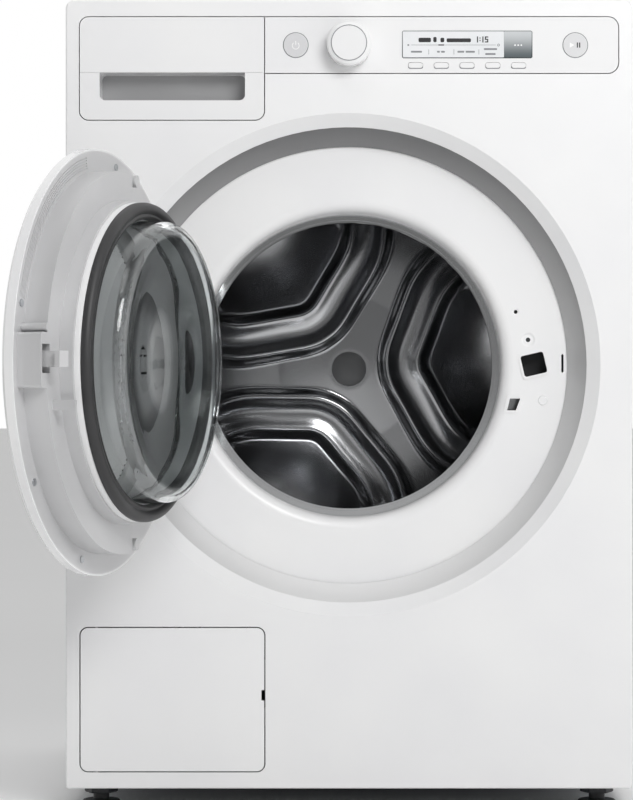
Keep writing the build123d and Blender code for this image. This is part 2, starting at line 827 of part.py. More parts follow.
with BuildPart() as front_plate:
    with BuildSketch(drum_section):
        with BuildLine():
            flat = Line((plate_radius, plate_depth), (throat_radius, plate_depth))
            bend = TangentArc(flat @ 1, (lip_radius, plate_depth + throat_bend), tangent=(-1, 0))
            inner = Polyline(bend @ 1, (lip_radius, throat_end), (lip_radius + plate_wall, throat_end),
                             (lip_radius + plate_wall, plate_depth + throat_bend))
            back = TangentArc(inner @ 1, (throat_radius, plate_back_depth), tangent=(0, -1))
            Polyline(back @ 1, (plate_radius, plate_back_depth), flat @ 0)
        make_face()
    revolve(axis=axis_of(drum_section))
    with BuildSketch(face_at(drum_section, plate_depth)):
        hook_hole(bezel)
        tongue_hole(bezel)
    extrude(amount=bezel_proud)
    with BuildSketch(face_at(drum_section, plate_depth)):
        with Locations((bump_x, bump_z)):
            Circle(bump_radius)
    extrude(amount=bump_proud, taper=bump_taper)
    with BuildSketch(face_at(drum_section, plate_depth - bezel_proud)):
        hook_hole(0)
        tongue_hole(0)
        with Locations((slot_x, slot_z)):
            SlotOverall(slot_length, slot_width, rotation=90)
        with Locations((dish_x, dish_z)):
            Circle(dish_hole_radius)
        with Locations((pip_x, pip_z)):
            Circle(pip_radius)
    extrude(amount=-(bezel_proud + plate_wall), mode=Mode.SUBTRACT)
    with BuildSketch(face_at(drum_section, plate_depth)):
        with Locations((dish_x, dish_z)):
            Circle(dish_radius)
        with Locations((pip_x, pip_z)):
            Circle(2 * pip_radius)
    extrude(amount=-dish_depth, taper=dish_taper, mode=Mode.SUBTRACT)
finish(front_plate, "front_plate")

groove = 1.0
groove_margin = 1.3

with BuildPart() as steel_lip:
    with BuildSketch(drum_section):
        outline((lip_inner_radius, lip_front_depth), (lip_radius, lip_front_depth),
                (lip_radius, lip_front_depth + lip_length),
                (lip_inner_radius, lip_front_depth + lip_length))
    revolve(axis=axis_of(drum_section))
    with BuildSketch(drum_section):
        for radius in (lip_inner_radius + groove_margin, lip_radius - groove_margin - groove):
            outline((radius, lip_front_depth), (radius + groove, lip_front_depth),
                    (radius + groove, lip_front_depth + groove), (radius, lip_front_depth + groove))
    revolve(axis=axis_of(drum_section), mode=Mode.SUBTRACT)
finish(steel_lip, "steel_lip")

with BuildPart() as tub_front:
    with BuildSketch(drum_section):
        outline((lip_radius, tub_front_depth), (neck_radius, tub_front_depth),
                (neck_radius, plate_back_depth), (neck_radius + neck_wall, plate_back_depth),
                (neck_radius + neck_wall, tub_front_depth), (tub_flange_radius, tub_front_depth),
                (tub_flange_radius, tub_shell_depth), (lip_radius, tub_shell_depth))
    revolve(axis=axis_of(drum_section))
finish(tub_front, "tub_front")

tub_inner_radius = tub_radius - tub_wall

with BuildPart() as tub_shell:
    with BuildSketch(face_at(drum_section, tub_shell_depth)):
        Circle(tub_radius)
    extrude(amount=-(tub_end_depth + tub_back_wall - tub_shell_depth))
    with BuildSketch(face_at(drum_section, tub_shell_depth)):
        Circle(tub_flange_radius)
    extrude(amount=-tub_front_wall)
    with BuildSketch(Plane.XY.offset(drum_height - tub_radius - sump_pipe_radius)):
        with Locations((sump_x, sump_y)):
            Circle(sump_pipe_radius)
    extrude(amount=tub_radius)
    with BuildSketch(Plane.XY.offset(drum_height)):
        with Locations((feed_x, feed_y)):
            Circle(feed_pipe_radius)
    extrude(amount=tub_radius - 4 * feed_pipe_radius)
    with BuildSketch(face_at(drum_section, tub_shell_depth)):
        Circle(tub_inner_radius)
    extrude(amount=-(tub_end_depth - tub_shell_depth), mode=Mode.SUBTRACT)
    with BuildSketch(face_at(drum_section, tub_end_depth)):
        Circle(hub_radius)
    extrude(amount=-tub_back_wall, mode=Mode.SUBTRACT)
    with BuildSketch(Plane.XY.offset(drum_height - tub_radius - sump_pipe_radius)):
        with Locations((sump_x, sump_y)):
            Circle(sump_pipe_radius - tub_wall)
    extrude(amount=tub_radius / 2, mode=Mode.SUBTRACT)
    with BuildSketch(Plane.XY.offset(drum_height + tub_radius / 3)):
        with Locations((feed_x, feed_y)):
            Circle(feed_pipe_radius - tub_wall)
    extrude(amount=tub_radius, mode=Mode.SUBTRACT)
finish(tub_shell, "tub_shell")

rib_count = 6
rib_thickness = 6.0
rib_radius = 118.0
housing_flange_radius = 130.0
housing_flange_wall = 6.0
rib_length = 26.0

with BuildPart() as bearing_housing:
    with BuildSketch(face_at(drum_section, tub_end_depth)):
        Circle(hub_radius)
    extrude(amount=-hub_length)
    with BuildSketch(face_at(drum_section, tub_end_depth + tub_back_wall)):
        Circle(housing_flange_radius)
    extrude(amount=-housing_flange_wall)
    with BuildSketch(face_at(drum_section, tub_end_depth + tub_back_wall + housing_flange_wall)):
        with PolarLocations(0, rib_count):
            with Locations((rib_radius / 2, 0)):
                Rectangle(rib_radius, rib_thickness)
    extrude(amount=-rib_length)
    with BuildSketch(face_at(drum_section, tub_end_depth)):
        Circle(bearing_radius)
    extrude(amount=-hub_length, mode=Mode.SUBTRACT)
finish(bearing_housing, "bearing_housing")

with BuildPart() as drum_bearings:
    for depth in (tub_end_depth + housing_flange_wall, bearing_end_depth - bearing_width):
        with BuildSketch(face_at(drum_section, depth)):
            Circle(bearing_radius)
            Circle(shaft_radius + shaft_gap, mode=Mode.SUBTRACT)
        extrude(amount=-bearing_width)
finish(drum_bearings, "drum_bearings")

motor_axis = (motor_x, motor_height - drum_height)  # seen from the drum's axis
motor_reach = hypot(*motor_axis)
motor_tilt = degrees(atan2(motor_axis[1], motor_axis[0]))
motor_front_depth = motor_front_y - front_y
bracket_width = 64.0
bracket_thickness = 8.0
bracket_depths = (motor_front_depth + 2 * bracket_thickness, tub_end_depth - 2 * bracket_thickness)

with BuildPart() as motor_housing:
    with BuildSketch(face_at(drum_section, motor_front_depth)):
        with Locations(motor_axis):
            Circle(motor_radius)
    extrude(amount=-motor_length)
    for depth in bracket_depths:
        with BuildSketch(face_at(drum_section, depth)):
            with Locations(motor_axis):
                with Locations(Rotation(0, 0, motor_tilt)):
                    with Locations((-(motor_reach - tub_radius) / 2 - motor_radius / 2, 0)):
                        Rectangle(motor_reach - tub_radius + motor_radius, bracket_width)
            Circle(tub_radius, mode=Mode.SUBTRACT)
        extrude(amount=-bracket_thickness)
    with BuildSketch(face_at(drum_section, motor_front_depth + motor_wall)):
        with Locations(motor_axis):
            Circle(rotor_radius + rotor_gap)
    extrude(amount=-(motor_length - 2 * motor_wall), mode=Mode.SUBTRACT)
    with BuildSketch(face_at(drum_section, motor_front_depth)):
        with Locations(motor_axis):
            Circle(rotor_shaft_radius + shaft_gap)
    extrude(amount=-motor_length, mode=Mode.SUBTRACT)
finish(motor_housing, "motor_housing")

with BuildPart() as motor_rotor:
    with BuildSketch(face_at(drum_section, motor_front_depth - motor_wall)):
        with Locations(motor_axis):
            Circle(rotor_shaft_radius)
    extrude(amount=-(pulley_end_depth - motor_front_depth + motor_wall))
    with BuildSketch(face_at(drum_section, motor_front_depth + 2 * motor_wall)):
        with Locations(motor_axis):
            Circle(rotor_radius)
    extrude(amount=-(motor_length - 4 * motor_wall))
    with BuildSketch(face_at(drum_section, pulley_depth)):
        with Locations(motor_axis):
            Circle(motor_pulley_radius)
    extrude(amount=-pulley_width)
finish(motor_rotor, "motor_rotor")


def belt_loop(grow):
    # The loop round both pulleys, grown outwards by this much.
    with BuildSketch() as shape:
        Circle(pulley_radius + grow)
        with Locations(motor_axis):
            Circle(motor_pulley_radius + grow)
        make_hull()
    return shape.sketch


belt_margin = 1.0

with BuildPart() as drive_belt:
    with BuildSketch(face_at(drum_section, pulley_depth + belt_margin)):
        add(belt_loop(belt_gap + belt_thickness))
        add(belt_loop(belt_gap), mode=Mode.SUBTRACT)
    extrude(amount=-(pulley_width - 2 * belt_margin))
finish(drive_belt, "drive_belt")

top_weight_half = 120.0
top_weight_rise = 46.0
top_weight_front_depth = 272.0
top_weight_length = 140.0
front_weight_inner = 177.0
front_weight_outer = 231.0
front_weight_angle = 110.0
front_weight_depth = plate_back_depth + plate_gap

with BuildPart() as counterweights:
    with BuildSketch(face_at(drum_section, top_weight_front_depth)):
        panel(-top_weight_half, top_weight_half, tub_radius / 2, tub_radius + top_weight_rise, tray_inset)
        Circle(tub_radius, mode=Mode.SUBTRACT)
        panel(-top_weight_half, top_weight_half, 0, sqrt(tub_radius**2 - top_weight_half**2),
              0, mode=Mode.SUBTRACT)
    extrude(amount=-top_weight_length)
    for middle in (90, 270):
        with BuildSketch(face_at(drum_section, front_weight_depth)):
            Circle(front_weight_outer)
            Circle(front_weight_inner, mode=Mode.SUBTRACT)
            with BuildLine():
                start = middle - front_weight_angle / 2
                first = PolarLine((0, 0), 2 * front_weight_outer, start)
                second = PolarLine((0, 0), 2 * front_weight_outer, start + front_weight_angle)
                top = Line(first @ 1, second @ 1)
            make_face(mode=Mode.INTERSECT)
        extrude(amount=-(tub_front_depth - front_weight_depth))
finish(counterweights, "counterweights")

with BuildPart() as door_lock:
    with BuildSketch(face_at(drum_section, plate_back_depth)):
        panel(door_lock_left - door_lock_wall, door_lock_right, door_lock_bottom, door_lock_top)
    extrude(amount=-door_lock_depth)
    with BuildSketch(face_at(drum_section, plate_back_depth)):
        panel(door_lock_left, door_lock_right - door_lock_wall, door_lock_bottom / 2, door_lock_top / 2)
    extrude(amount=-(door_lock_depth - door_lock_wall), mode=Mode.SUBTRACT)
finish(door_lock, "door_lock")

hinge_base_left = 14.0
hinge_base_right = 10.0
hinge_base_wall = 3.0
hinge_base_half = 58.0
lug_bottom = hinge_arm_length / 2 + hinge_gap
hinge_base_depth = plate_depth - hinge_base_wall

with BuildPart() as hinge_bracket:
    with BuildSketch(face_at(drum_section, hinge_base_depth)):
        panel(hinge_x - hinge_base_left, hinge_x + hinge_base_right, -hinge_base_half, hinge_base_half,
              hinge_knuckle_radius)
    extrude(amount=-hinge_base_wall)
    for level in (drum_height + lug_bottom, drum_height - lug_bottom - hinge_lug_height):
        with BuildSketch(Plane.XY.offset(level)):
            with Locations((hinge_x, hinge_y)):
                Circle(hinge_knuckle_radius)
                with Locations((0, (hinge_base_depth - hinge_depth) / 2)):
                    Rectangle(2 * hinge_knuckle_radius, hinge_base_depth - hinge_depth)
        extrude(amount=hinge_lug_height)
    with BuildSketch(Plane.XY.offset(drum_height - lug_bottom)):
        with Locations((hinge_x, hinge_y)):
            Circle(hinge_pin_radius)
    extrude(amount=2 * lug_bottom)
finish(hinge_bracket, "hinge_bracket")

# ---------------------------------------------------------------- suspension

rod_reach = 34.0
rod_bottom = foot_height + tray_sheet + rod_reach
piston_height = 14.0
piston_gap = 0.4
damper_foot = 50.0
damper_foot_wall = 3.0
damper_cap = 5.0
saddle_width = 40.0
saddle_depth = 30.0
tray_floor = foot_height + tray_sheet
seat_top = seat_height + seat_thickness

with BuildPart() as damper_cylinders:
    with BuildSketch(Plane.XY.offset(tray_floor)):
        with Locations(*damper_places):
            RectangleRounded(damper_foot, damper_foot, damper_foot_wall)
    extrude(amount=damper_foot_wall)
    with BuildSketch(Plane.XY.offset(tray_floor)):
        with Locations(*damper_places):
            Circle(damper_radius)
    extrude(amount=damper_top - tray_floor)
    with BuildSketch(Plane.XY.offset(tray_floor + damper_foot_wall)):
        with Locations(*damper_places):
            Circle(damper_bore)
    extrude(amount=damper_top - tray_floor - damper_foot_wall - damper_cap, mode=Mode.SUBTRACT)
    with BuildSketch(Plane.XY.offset(damper_top - damper_cap)):
        with Locations(*damper_places):
            Circle(damper_rod_radius + damper_clearance)
    extrude(amount=damper_cap, mode=Mode.SUBTRACT)
finish(damper_cylinders, "damper_cylinders")

with BuildPart() as damper_rods:
    with BuildSketch(Plane.XY.offset(rod_bottom)):
        with Locations(*damper_places):
            Circle(damper_bore - piston_gap)
    extrude(amount=piston_height)
    with BuildSketch(Plane.XY.offset(rod_bottom)):
        with Locations(*damper_places):
            Circle(damper_rod_radius)
    extrude(amount=seat_height - rod_bottom)
    with BuildSketch(Plane.XY.offset(seat_height)):
        with Locations(*damper_places):
            Circle(seat_radius)
    extrude(amount=seat_thickness)
    with BuildSketch(Plane.XY.offset(seat_top)):
        with Locations(*damper_places):
            Rectangle(saddle_width, saddle_depth)
    extrude(amount=drum_height - seat_top)
    with BuildSketch(face_at(drum_section, 0)):
        Circle(tub_radius)
    extrude(amount=-cabinet_depth, mode=Mode.SUBTRACT)
finish(damper_rods, "damper_rods")

spring_gap = 0.5
spring_height = seat_height - damper_top - 2 * spring_wire - 2 * spring_gap

with BuildPart() as spring:
    with BuildLine():
        coil = Helix(spring_height / spring_turns, spring_height, spring_radius)
    with BuildSketch(Plane(coil @ 0, z_dir=coil % 0)):
        Circle(spring_wire)
    sweep(path=coil)

with BuildPart() as damper_springs:
    with Locations(*[(x, y, damper_top + spring_gap + spring_wire) for x, y in damper_places]):
        add(spring.part)
finish(damper_springs, "damper_springs")

# ---------------------------------------------------------------- drum

with BuildPart() as drum_shell:
    bead_radius = mouth_radius + mouth_bead
    with BuildSketch(drum_section):
        outline((bead_radius, drum_front), (drum_radius, drum_front), (drum_radius, drum_back_depth),
                (drum_radius - drum_wall, drum_back_depth), (drum_radius - drum_wall, drum_front + drum_wall),
                (bead_radius, drum_front + drum_wall))
        with Locations((bead_radius, drum_front + mouth_bead)):
            Circle(mouth_bead)
    revolve(axis=axis_of(drum_section))
finish(drum_shell, "drum_shell")

chevron_count = 3
chevron_tilt = 4.5
chevron_base = 62.0
chevron_top = 30.0
chevron_height = 20.0
chevron_steps = 4
chevron_limit = 236.0
chevron_spine = [(64, 0), (78, 40), (100, 88), (140, 125), (175, 145)]
chevron_wall = 1.5
hub_cap_radius = 20.8
hub_cap_height = 8.0
hub_cap_edge = 1.0
back_flange_radius = 70.0
back_flange_wall = 6.0


def chevron_bands(width, limit):
    # The "<" shaped bands of this width, each with its point toward the hub.
    with BuildSketch() as band:
        for side in (1, -1):
            with BuildLine():
                Spline([(x, side * y) for x, y in chevron_spine], tangents=[(0, side), (1, side)])
            trace(line_width=width)
    with BuildSketch() as shape:
        with PolarLocations(0, chevron_count, start_angle=chevron_tilt):
            add(band.sketch)
        Circle(limit, mode=Mode.INTERSECT)
    return shape.sketch


with BuildPart() as drum_back:
    with BuildSketch(face_at(drum_section, drum_back_depth)):
        Circle(drum_radius)
    extrude(amount=-drum_back_wall)
    chevron_widths = []
    for step in range(chevron_steps):
        chevron_widths.append(chevron_base - (chevron_base - chevron_top) * step / (chevron_steps - 1))
    chevron_rise = chevron_height / chevron_steps
    for step, width in enumerate(chevron_widths):
        with BuildSketch(face_at(drum_section, drum_back_depth)):
            add(chevron_bands(width, chevron_limit))
        extrude(amount=chevron_rise * (step + 1))
    # pressed from sheet, so the ridges are hollow at the back
    for step, width in enumerate(chevron_widths):
        with BuildSketch(face_at(drum_section, drum_end_depth)):
            add(chevron_bands(width - 2 * chevron_wall, chevron_limit - chevron_wall))
        extrude(amount=chevron_rise * (step + 1) + drum_back_wall - chevron_wall, mode=Mode.SUBTRACT)
    with BuildSketch(drum_section):
        outline((0, drum_back_depth), (hub_cap_radius, drum_back_depth),
                (hub_cap_radius, drum_back_depth - hub_cap_height + hub_cap_edge),
                (hub_cap_radius - hub_cap_edge, drum_back_depth - hub_cap_height),
                (0, drum_back_depth - hub_cap_height))
    revolve(axis=axis_of(drum_section))
    with BuildSketch(face_at(drum_section, drum_end_depth)):
        Circle(back_flange_radius)
    extrude(amount=-back_flange_wall)
finish(drum_back, "drum_back")

lifter_base = 32.0
lifter_tip = 11.0
lifter_rise = 50.0
lifter_margin = 24.0
lifter_turn = 64.5
lifter_wall = 1.2
drum_inner_radius = drum_radius - drum_wall
lifter_length = drum_back_depth - drum_front - 2 * lifter_margin


def lifter_bars(inset):
    # The lifters' cross-sections, drawn in by this much except at the drum's wall.
    root = drum_inner_radius + lifter_base
    shoulder = drum_inner_radius - lifter_tip
    crest = drum_inner_radius - lifter_rise
    with BuildSketch() as shape:
        with PolarLocations(0, chevron_count, start_angle=lifter_turn):
            outline((root, -lifter_base), (root, lifter_base), (shoulder, lifter_base),
                    (crest, lifter_tip), (crest, -lifter_tip), (shoulder, -lifter_base))
        offset(amount=-inset)
        Circle(drum_inner_radius, mode=Mode.INTERSECT)
    return shape.sketch


with BuildPart() as drum_lifters:
    with BuildSketch(face_at(drum_section, drum_front + lifter_margin)):
        add(lifter_bars(0))
    extrude(amount=-lifter_length)
    with BuildSketch(face_at(drum_section, drum_front + lifter_margin + lifter_wall)):
        add(lifter_bars(lifter_wall))
    extrude(amount=-(lifter_length - 2 * lifter_wall), mode=Mode.SUBTRACT)
finish(drum_lifters, "drum_lifters")

shaft_tail = 6.0

with BuildPart() as drum_shaft:
    with BuildSketch(face_at(drum_section, drum_end_depth + back_flange_wall)):
        Circle(shaft_radius)
    extrude(amount=-(pulley_end_depth + shaft_tail - drum_end_depth - back_flange_wall))
finish(drum_shaft, "drum_shaft")

pulley_rim = 10.0
pulley_hub = 26.0
pulley_web = 4.0
pulley_windows = 5
pulley_window_radius = 34.0

with BuildPart() as drum_pulley:
    with BuildSketch(drum_section):
        web_depth = pulley_depth + (pulley_width - pulley_web) / 2
        rim_inner = pulley_radius - pulley_rim
        outline((shaft_radius, pulley_depth), (pulley_hub, pulley_depth), (pulley_hub, web_depth),
                (rim_inner, web_depth), (rim_inner, pulley_depth), (pulley_radius, pulley_depth),
                (pulley_radius, pulley_end_depth), (rim_inner, pulley_end_depth),
                (rim_inner, web_depth + pulley_web), (pulley_hub, web_depth + pulley_web),
                (pulley_hub, pulley_end_depth), (shaft_radius, pulley_end_depth))
    revolve(axis=axis_of(drum_section))
    with BuildSketch(face_at(drum_section, pulley_depth)):
        with PolarLocations((pulley_hub + rim_inner) / 2, pulley_windows):
            Circle(pulley_window_radius)
    extrude(amount=-pulley_width, mode=Mode.SUBTRACT)
finish(drum_pulley, "drum_pulley")

# ---------------------------------------------------------------- pump, hoses and rear fittings

filter_centre = (filter_x, filter_height)
filter_wall = 3.0
filter_socket_depth = 40.0
pump_end_depth = filter_front_depth + pump_length
manifold_radius = 21.0
manifold_height = 118.0
pump_pipe_top = 165.0
sump_pipe_bottom = drum_height - tub_radius - sump_pipe_radius
hose_lap = 14.0
pump_foot_width = 50.0
drain_elbow_radius = 14.0
drain_collar_radius = 16.0
valve_flange = 3.0
drain_start_y = front_y + pump_end_depth - drain_elbow_radius
drain_reach = 20.0
drain_end_y = back_y + drain_reach

with BuildPart() as drain_pump:
    with BuildSketch(front_plane(filter_front_depth)):
        with Locations(filter_centre):
            Circle(filter_radius)
    extrude(amount=-pump_length)
    # the chamber that runs across to the sump pipe
    with BuildSketch(Plane.YZ.offset(filter_x)):
        with Locations((sump_y, manifold_height)):
            Circle(manifold_radius)
    extrude(amount=sump_x - filter_x + manifold_radius)
    with BuildSketch(Plane.XY.offset(manifold_height)):
        with Locations((sump_x, sump_y)):
            Circle(sump_pipe_radius)
    extrude(amount=pump_pipe_top - manifold_height)
    with BuildSketch(Plane.XY.offset(tray_floor)):
        with Locations((filter_x, front_y + filter_front_depth + pump_length / 2)):
            Rectangle(pump_foot_width, pump_length / 2)
    extrude(amount=filter_height - tray_floor)
    with BuildSketch(Plane.XY.offset(manifold_height)):
        with Locations((sump_x, sump_y)):
            Circle(sump_pipe_radius - filter_wall)
    extrude(amount=pump_pipe_top - manifold_height, mode=Mode.SUBTRACT)
    # the outlet elbow and the rigid pipe back to the rear wall
    with BuildSketch(Plane.YZ.offset(outlet_x)):
        with Locations((drain_start_y, outlet_height)):
            Circle(drain_elbow_radius)
    extrude(amount=filter_x - outlet_x)
    with BuildSketch(front_plane(drain_start_y - front_y)):
        with Locations((outlet_x, outlet_height)):
            Circle(drain_pipe_radius)
    extrude(amount=-(drain_end_y - drain_start_y))
    with BuildSketch(Plane.XZ.offset(-wall_y)):
        with Locations((outlet_x, outlet_height)):
            Circle(drain_collar_radius)
    extrude(amount=-valve_flange)
    with BuildSketch(Plane.XZ.offset(-drain_end_y)):
        with Locations((outlet_x, outlet_height)):
            Circle(drain_pipe_radius - hose_wall)
    extrude(amount=drain_end_y - drain_start_y, mode=Mode.SUBTRACT)
    with BuildSketch(front_plane(filter_front_depth)):
        with Locations(filter_centre):
            Circle(filter_radius - filter_wall)
    extrude(amount=-filter_socket_depth, mode=Mode.SUBTRACT)
finish(drain_pump, "drain_pump")

cap_gap = 1.0
cap_wall = 4.0
cap_grip_length = 52.0
cap_grip_width = 8.0
cap_grip_height = 11.0
cap_plug_length = 18.0
cap_clearance = 0.5

with BuildPart() as filter_cap:
    with BuildSketch(front_plane(filter_front_depth - cap_gap)):
        with Locations(filter_centre):
            Circle(filter_radius)
    extrude(amount=cap_wall)
    with BuildSketch(front_plane(filter_front_depth - cap_gap)):
        with Locations(filter_centre):
            Circle(filter_radius - filter_wall - cap_clearance)
    extrude(amount=-cap_plug_length)
    with BuildSketch(front_plane(filter_front_depth - cap_gap - cap_wall)):
        with Locations(filter_centre):
            SlotOverall(cap_grip_length, cap_grip_width)
    extrude(amount=cap_grip_height)
finish(filter_cap, "filter_cap")

with BuildPart() as sump_hose:
    hose_bottom = pump_pipe_top - hose_lap
    with BuildSketch(Plane.XY.offset(hose_bottom)):
        with Locations((sump_x, sump_y)):
            Circle(sump_pipe_radius + hose_gap + hose_wall)
            Circle(sump_pipe_radius + hose_gap, mode=Mode.SUBTRACT)
    extrude(amount=sump_pipe_bottom + hose_lap - hose_bottom)
finish(sump_hose, "sump_hose")

feed_pipe_bottom = housing_bottom - housing_wall - 2 * feed_pipe_radius
feed_pipe_top = drum_height + tub_radius - 4 * feed_pipe_radius

with BuildPart() as dispenser_hose:
    hose_bottom = feed_pipe_top - hose_lap / 2
    with BuildSketch(Plane.XY.offset(hose_bottom)):
        with Locations((feed_x, feed_y)):
            Circle(feed_pipe_radius + hose_gap + hose_wall)
            Circle(feed_pipe_radius + hose_gap, mode=Mode.SUBTRACT)
    extrude(amount=feed_pipe_bottom + hose_lap - hose_bottom)
finish(dispenser_hose, "dispenser_hose")

valve_width = 44.0
valve_height = 40.0
valve_depth = 46.0
valve_nut_flats = 34.0
valve_nut_height = 5.0
thread_bore = 8.0

with BuildPart() as inlet_valve:
    with BuildSketch(Plane.XZ.offset(-(wall_y - sheet))):
        with Locations((inlet_x, inlet_height)):
            RectangleRounded(valve_width, valve_height, tray_inset)
    extrude(amount=valve_depth)
    with BuildSketch(Plane.XZ.offset(-(wall_y - sheet))):
        with Locations((inlet_x, inlet_height)):
            Circle(inlet_thread_radius)
    extrude(amount=-(cover_step + sheet + inlet_reach))
    with BuildSketch(Plane.XZ.offset(-wall_y)):
        with Locations((inlet_x, inlet_height)):
            RegularPolygon(valve_nut_flats / 2, 6, major_radius=False)
    extrude(amount=-valve_nut_height)
    with BuildSketch(Plane.XZ.offset(-(back_y + inlet_reach))):
        with Locations((inlet_x, inlet_height)):
            Circle(thread_bore)
    extrude(amount=inlet_reach + 2 * tray_inset, mode=Mode.SUBTRACT)
finish(inlet_valve, "inlet_valve")

gland_flange = 14.0
gland_flange_wall = 4.0
gland_tail = 16.0

with BuildPart() as mains_gland:
    with BuildSketch(Plane.XZ.offset(-wall_y)):
        with Locations((gland_x, gland_height)):
            Circle(gland_flange)
    extrude(amount=-gland_flange_wall)
    with BuildSketch(Plane.XZ.offset(-wall_y)):
        with Locations((gland_x, gland_height)):
            Circle(gland_radius)
    extrude(amount=gland_tail)
    with BuildSketch(Plane.XZ.offset(-wall_y - gland_flange_wall)):
        with Locations((gland_x, gland_height)):
            Circle(cord_radius)
    extrude(amount=gland_flange_wall + gland_tail, mode=Mode.SUBTRACT)
finish(mains_gland, "mains_gland")

# ---------------------------------------------------------------- door

rim_wall = 2.0
rim_inner = door_radius - door_wall
skin_turn = 3.5
skin_front = 4.0
dome_land = 8.0
notch_left = -2 * door_radius
notch_half = hinge_notch / 2

with BuildPart() as door_outer_ring:
    with BuildSketch(door_section):
        outline((door_radius, door_rim_depth), (door_radius, skin_front),
                (door_radius - skin_turn, skin_front - skin_turn), (window_radius + dome_land, -door_dome),
                (window_radius, -door_dome),
                (window_radius, door_wall - door_dome), (window_radius + dome_land, door_wall - door_dome),
                (rim_inner - skin_turn, skin_front - skin_turn + door_wall), (rim_inner, skin_front + door_wall),
                (rim_inner, door_rim_depth - door_wall), (door_radius - rim_wall, door_rim_depth - door_wall),
                (door_radius - rim_wall, door_rim_depth))
    revolve(axis=axis_of(door_section))
    with BuildSketch(face_at(door_section, -door_radius)):
        panel(notch_left, -hinge_offset, -notch_half, notch_half)
    extrude(amount=-2 * door_radius, mode=Mode.SUBTRACT)
finish(door_outer_ring, "door_outer_ring")

with BuildPart() as door_window:
    with BuildSketch(door_section):
        with BuildLine():
            face = ThreePointArc((-window_radius, -door_dome), (0, -door_dome - window_rise),
                                 (window_radius, -door_dome))
            back = ThreePointArc((window_radius, door_wall - door_dome),
                                 (0, door_wall - door_dome - window_rise),
                                 (-window_radius, door_wall - door_dome))
            Line(face @ 1, back @ 0)
            Line(back @ 1, face @ 0)
        make_face()
        panel(0, door_radius, -door_radius, door_radius, mode=Mode.INTERSECT)
    revolve(axis=axis_of(door_section))
finish(door_window, "door_window")

frame_wall = 3.0
frame_edge = door_radius - rim_wall
frame_inner = 146.0
glass_seat = 41.0
frame_top = frame_depth - frame_wall
arm_right = 24.0
bumper_x = -28.0
bumper_z = 181.0
bumper_radius = 6.0
bumper_depth = 38.8
boss_z = 164.0
boss_radius = 5.5
boss_depth = 28.0
latch_block_left = 174.0
latch_block_right = 201.0
latch_block_half = 26.0
latch_slot_left = 181.0
latch_slot_right = 198.0
latch_slot_bottom = -12.0
latch_slot_top = 15.0
latch_floor = 16.0
rod_x = 190.5
rod_z = 31.0
rod_radius = 3.6
rod_depth = 38.9
tongue_x = 173.6
tongue_z = -41.7
tongue_thickness = 3.0
tongue_width = 9.6
tongue_depth = 60.0
grip_grooves = 5
grip_groove_first = 193.0
grip_groove_pitch = 2.6
grip_groove_width = 1.0
grip_groove_depth = 0.8
grip_start = 17.0
grip_sweep = 62.0
door_screw_radius = 199.0
door_screw_angles = (15.5, -35.0, -75.0, 100.0)

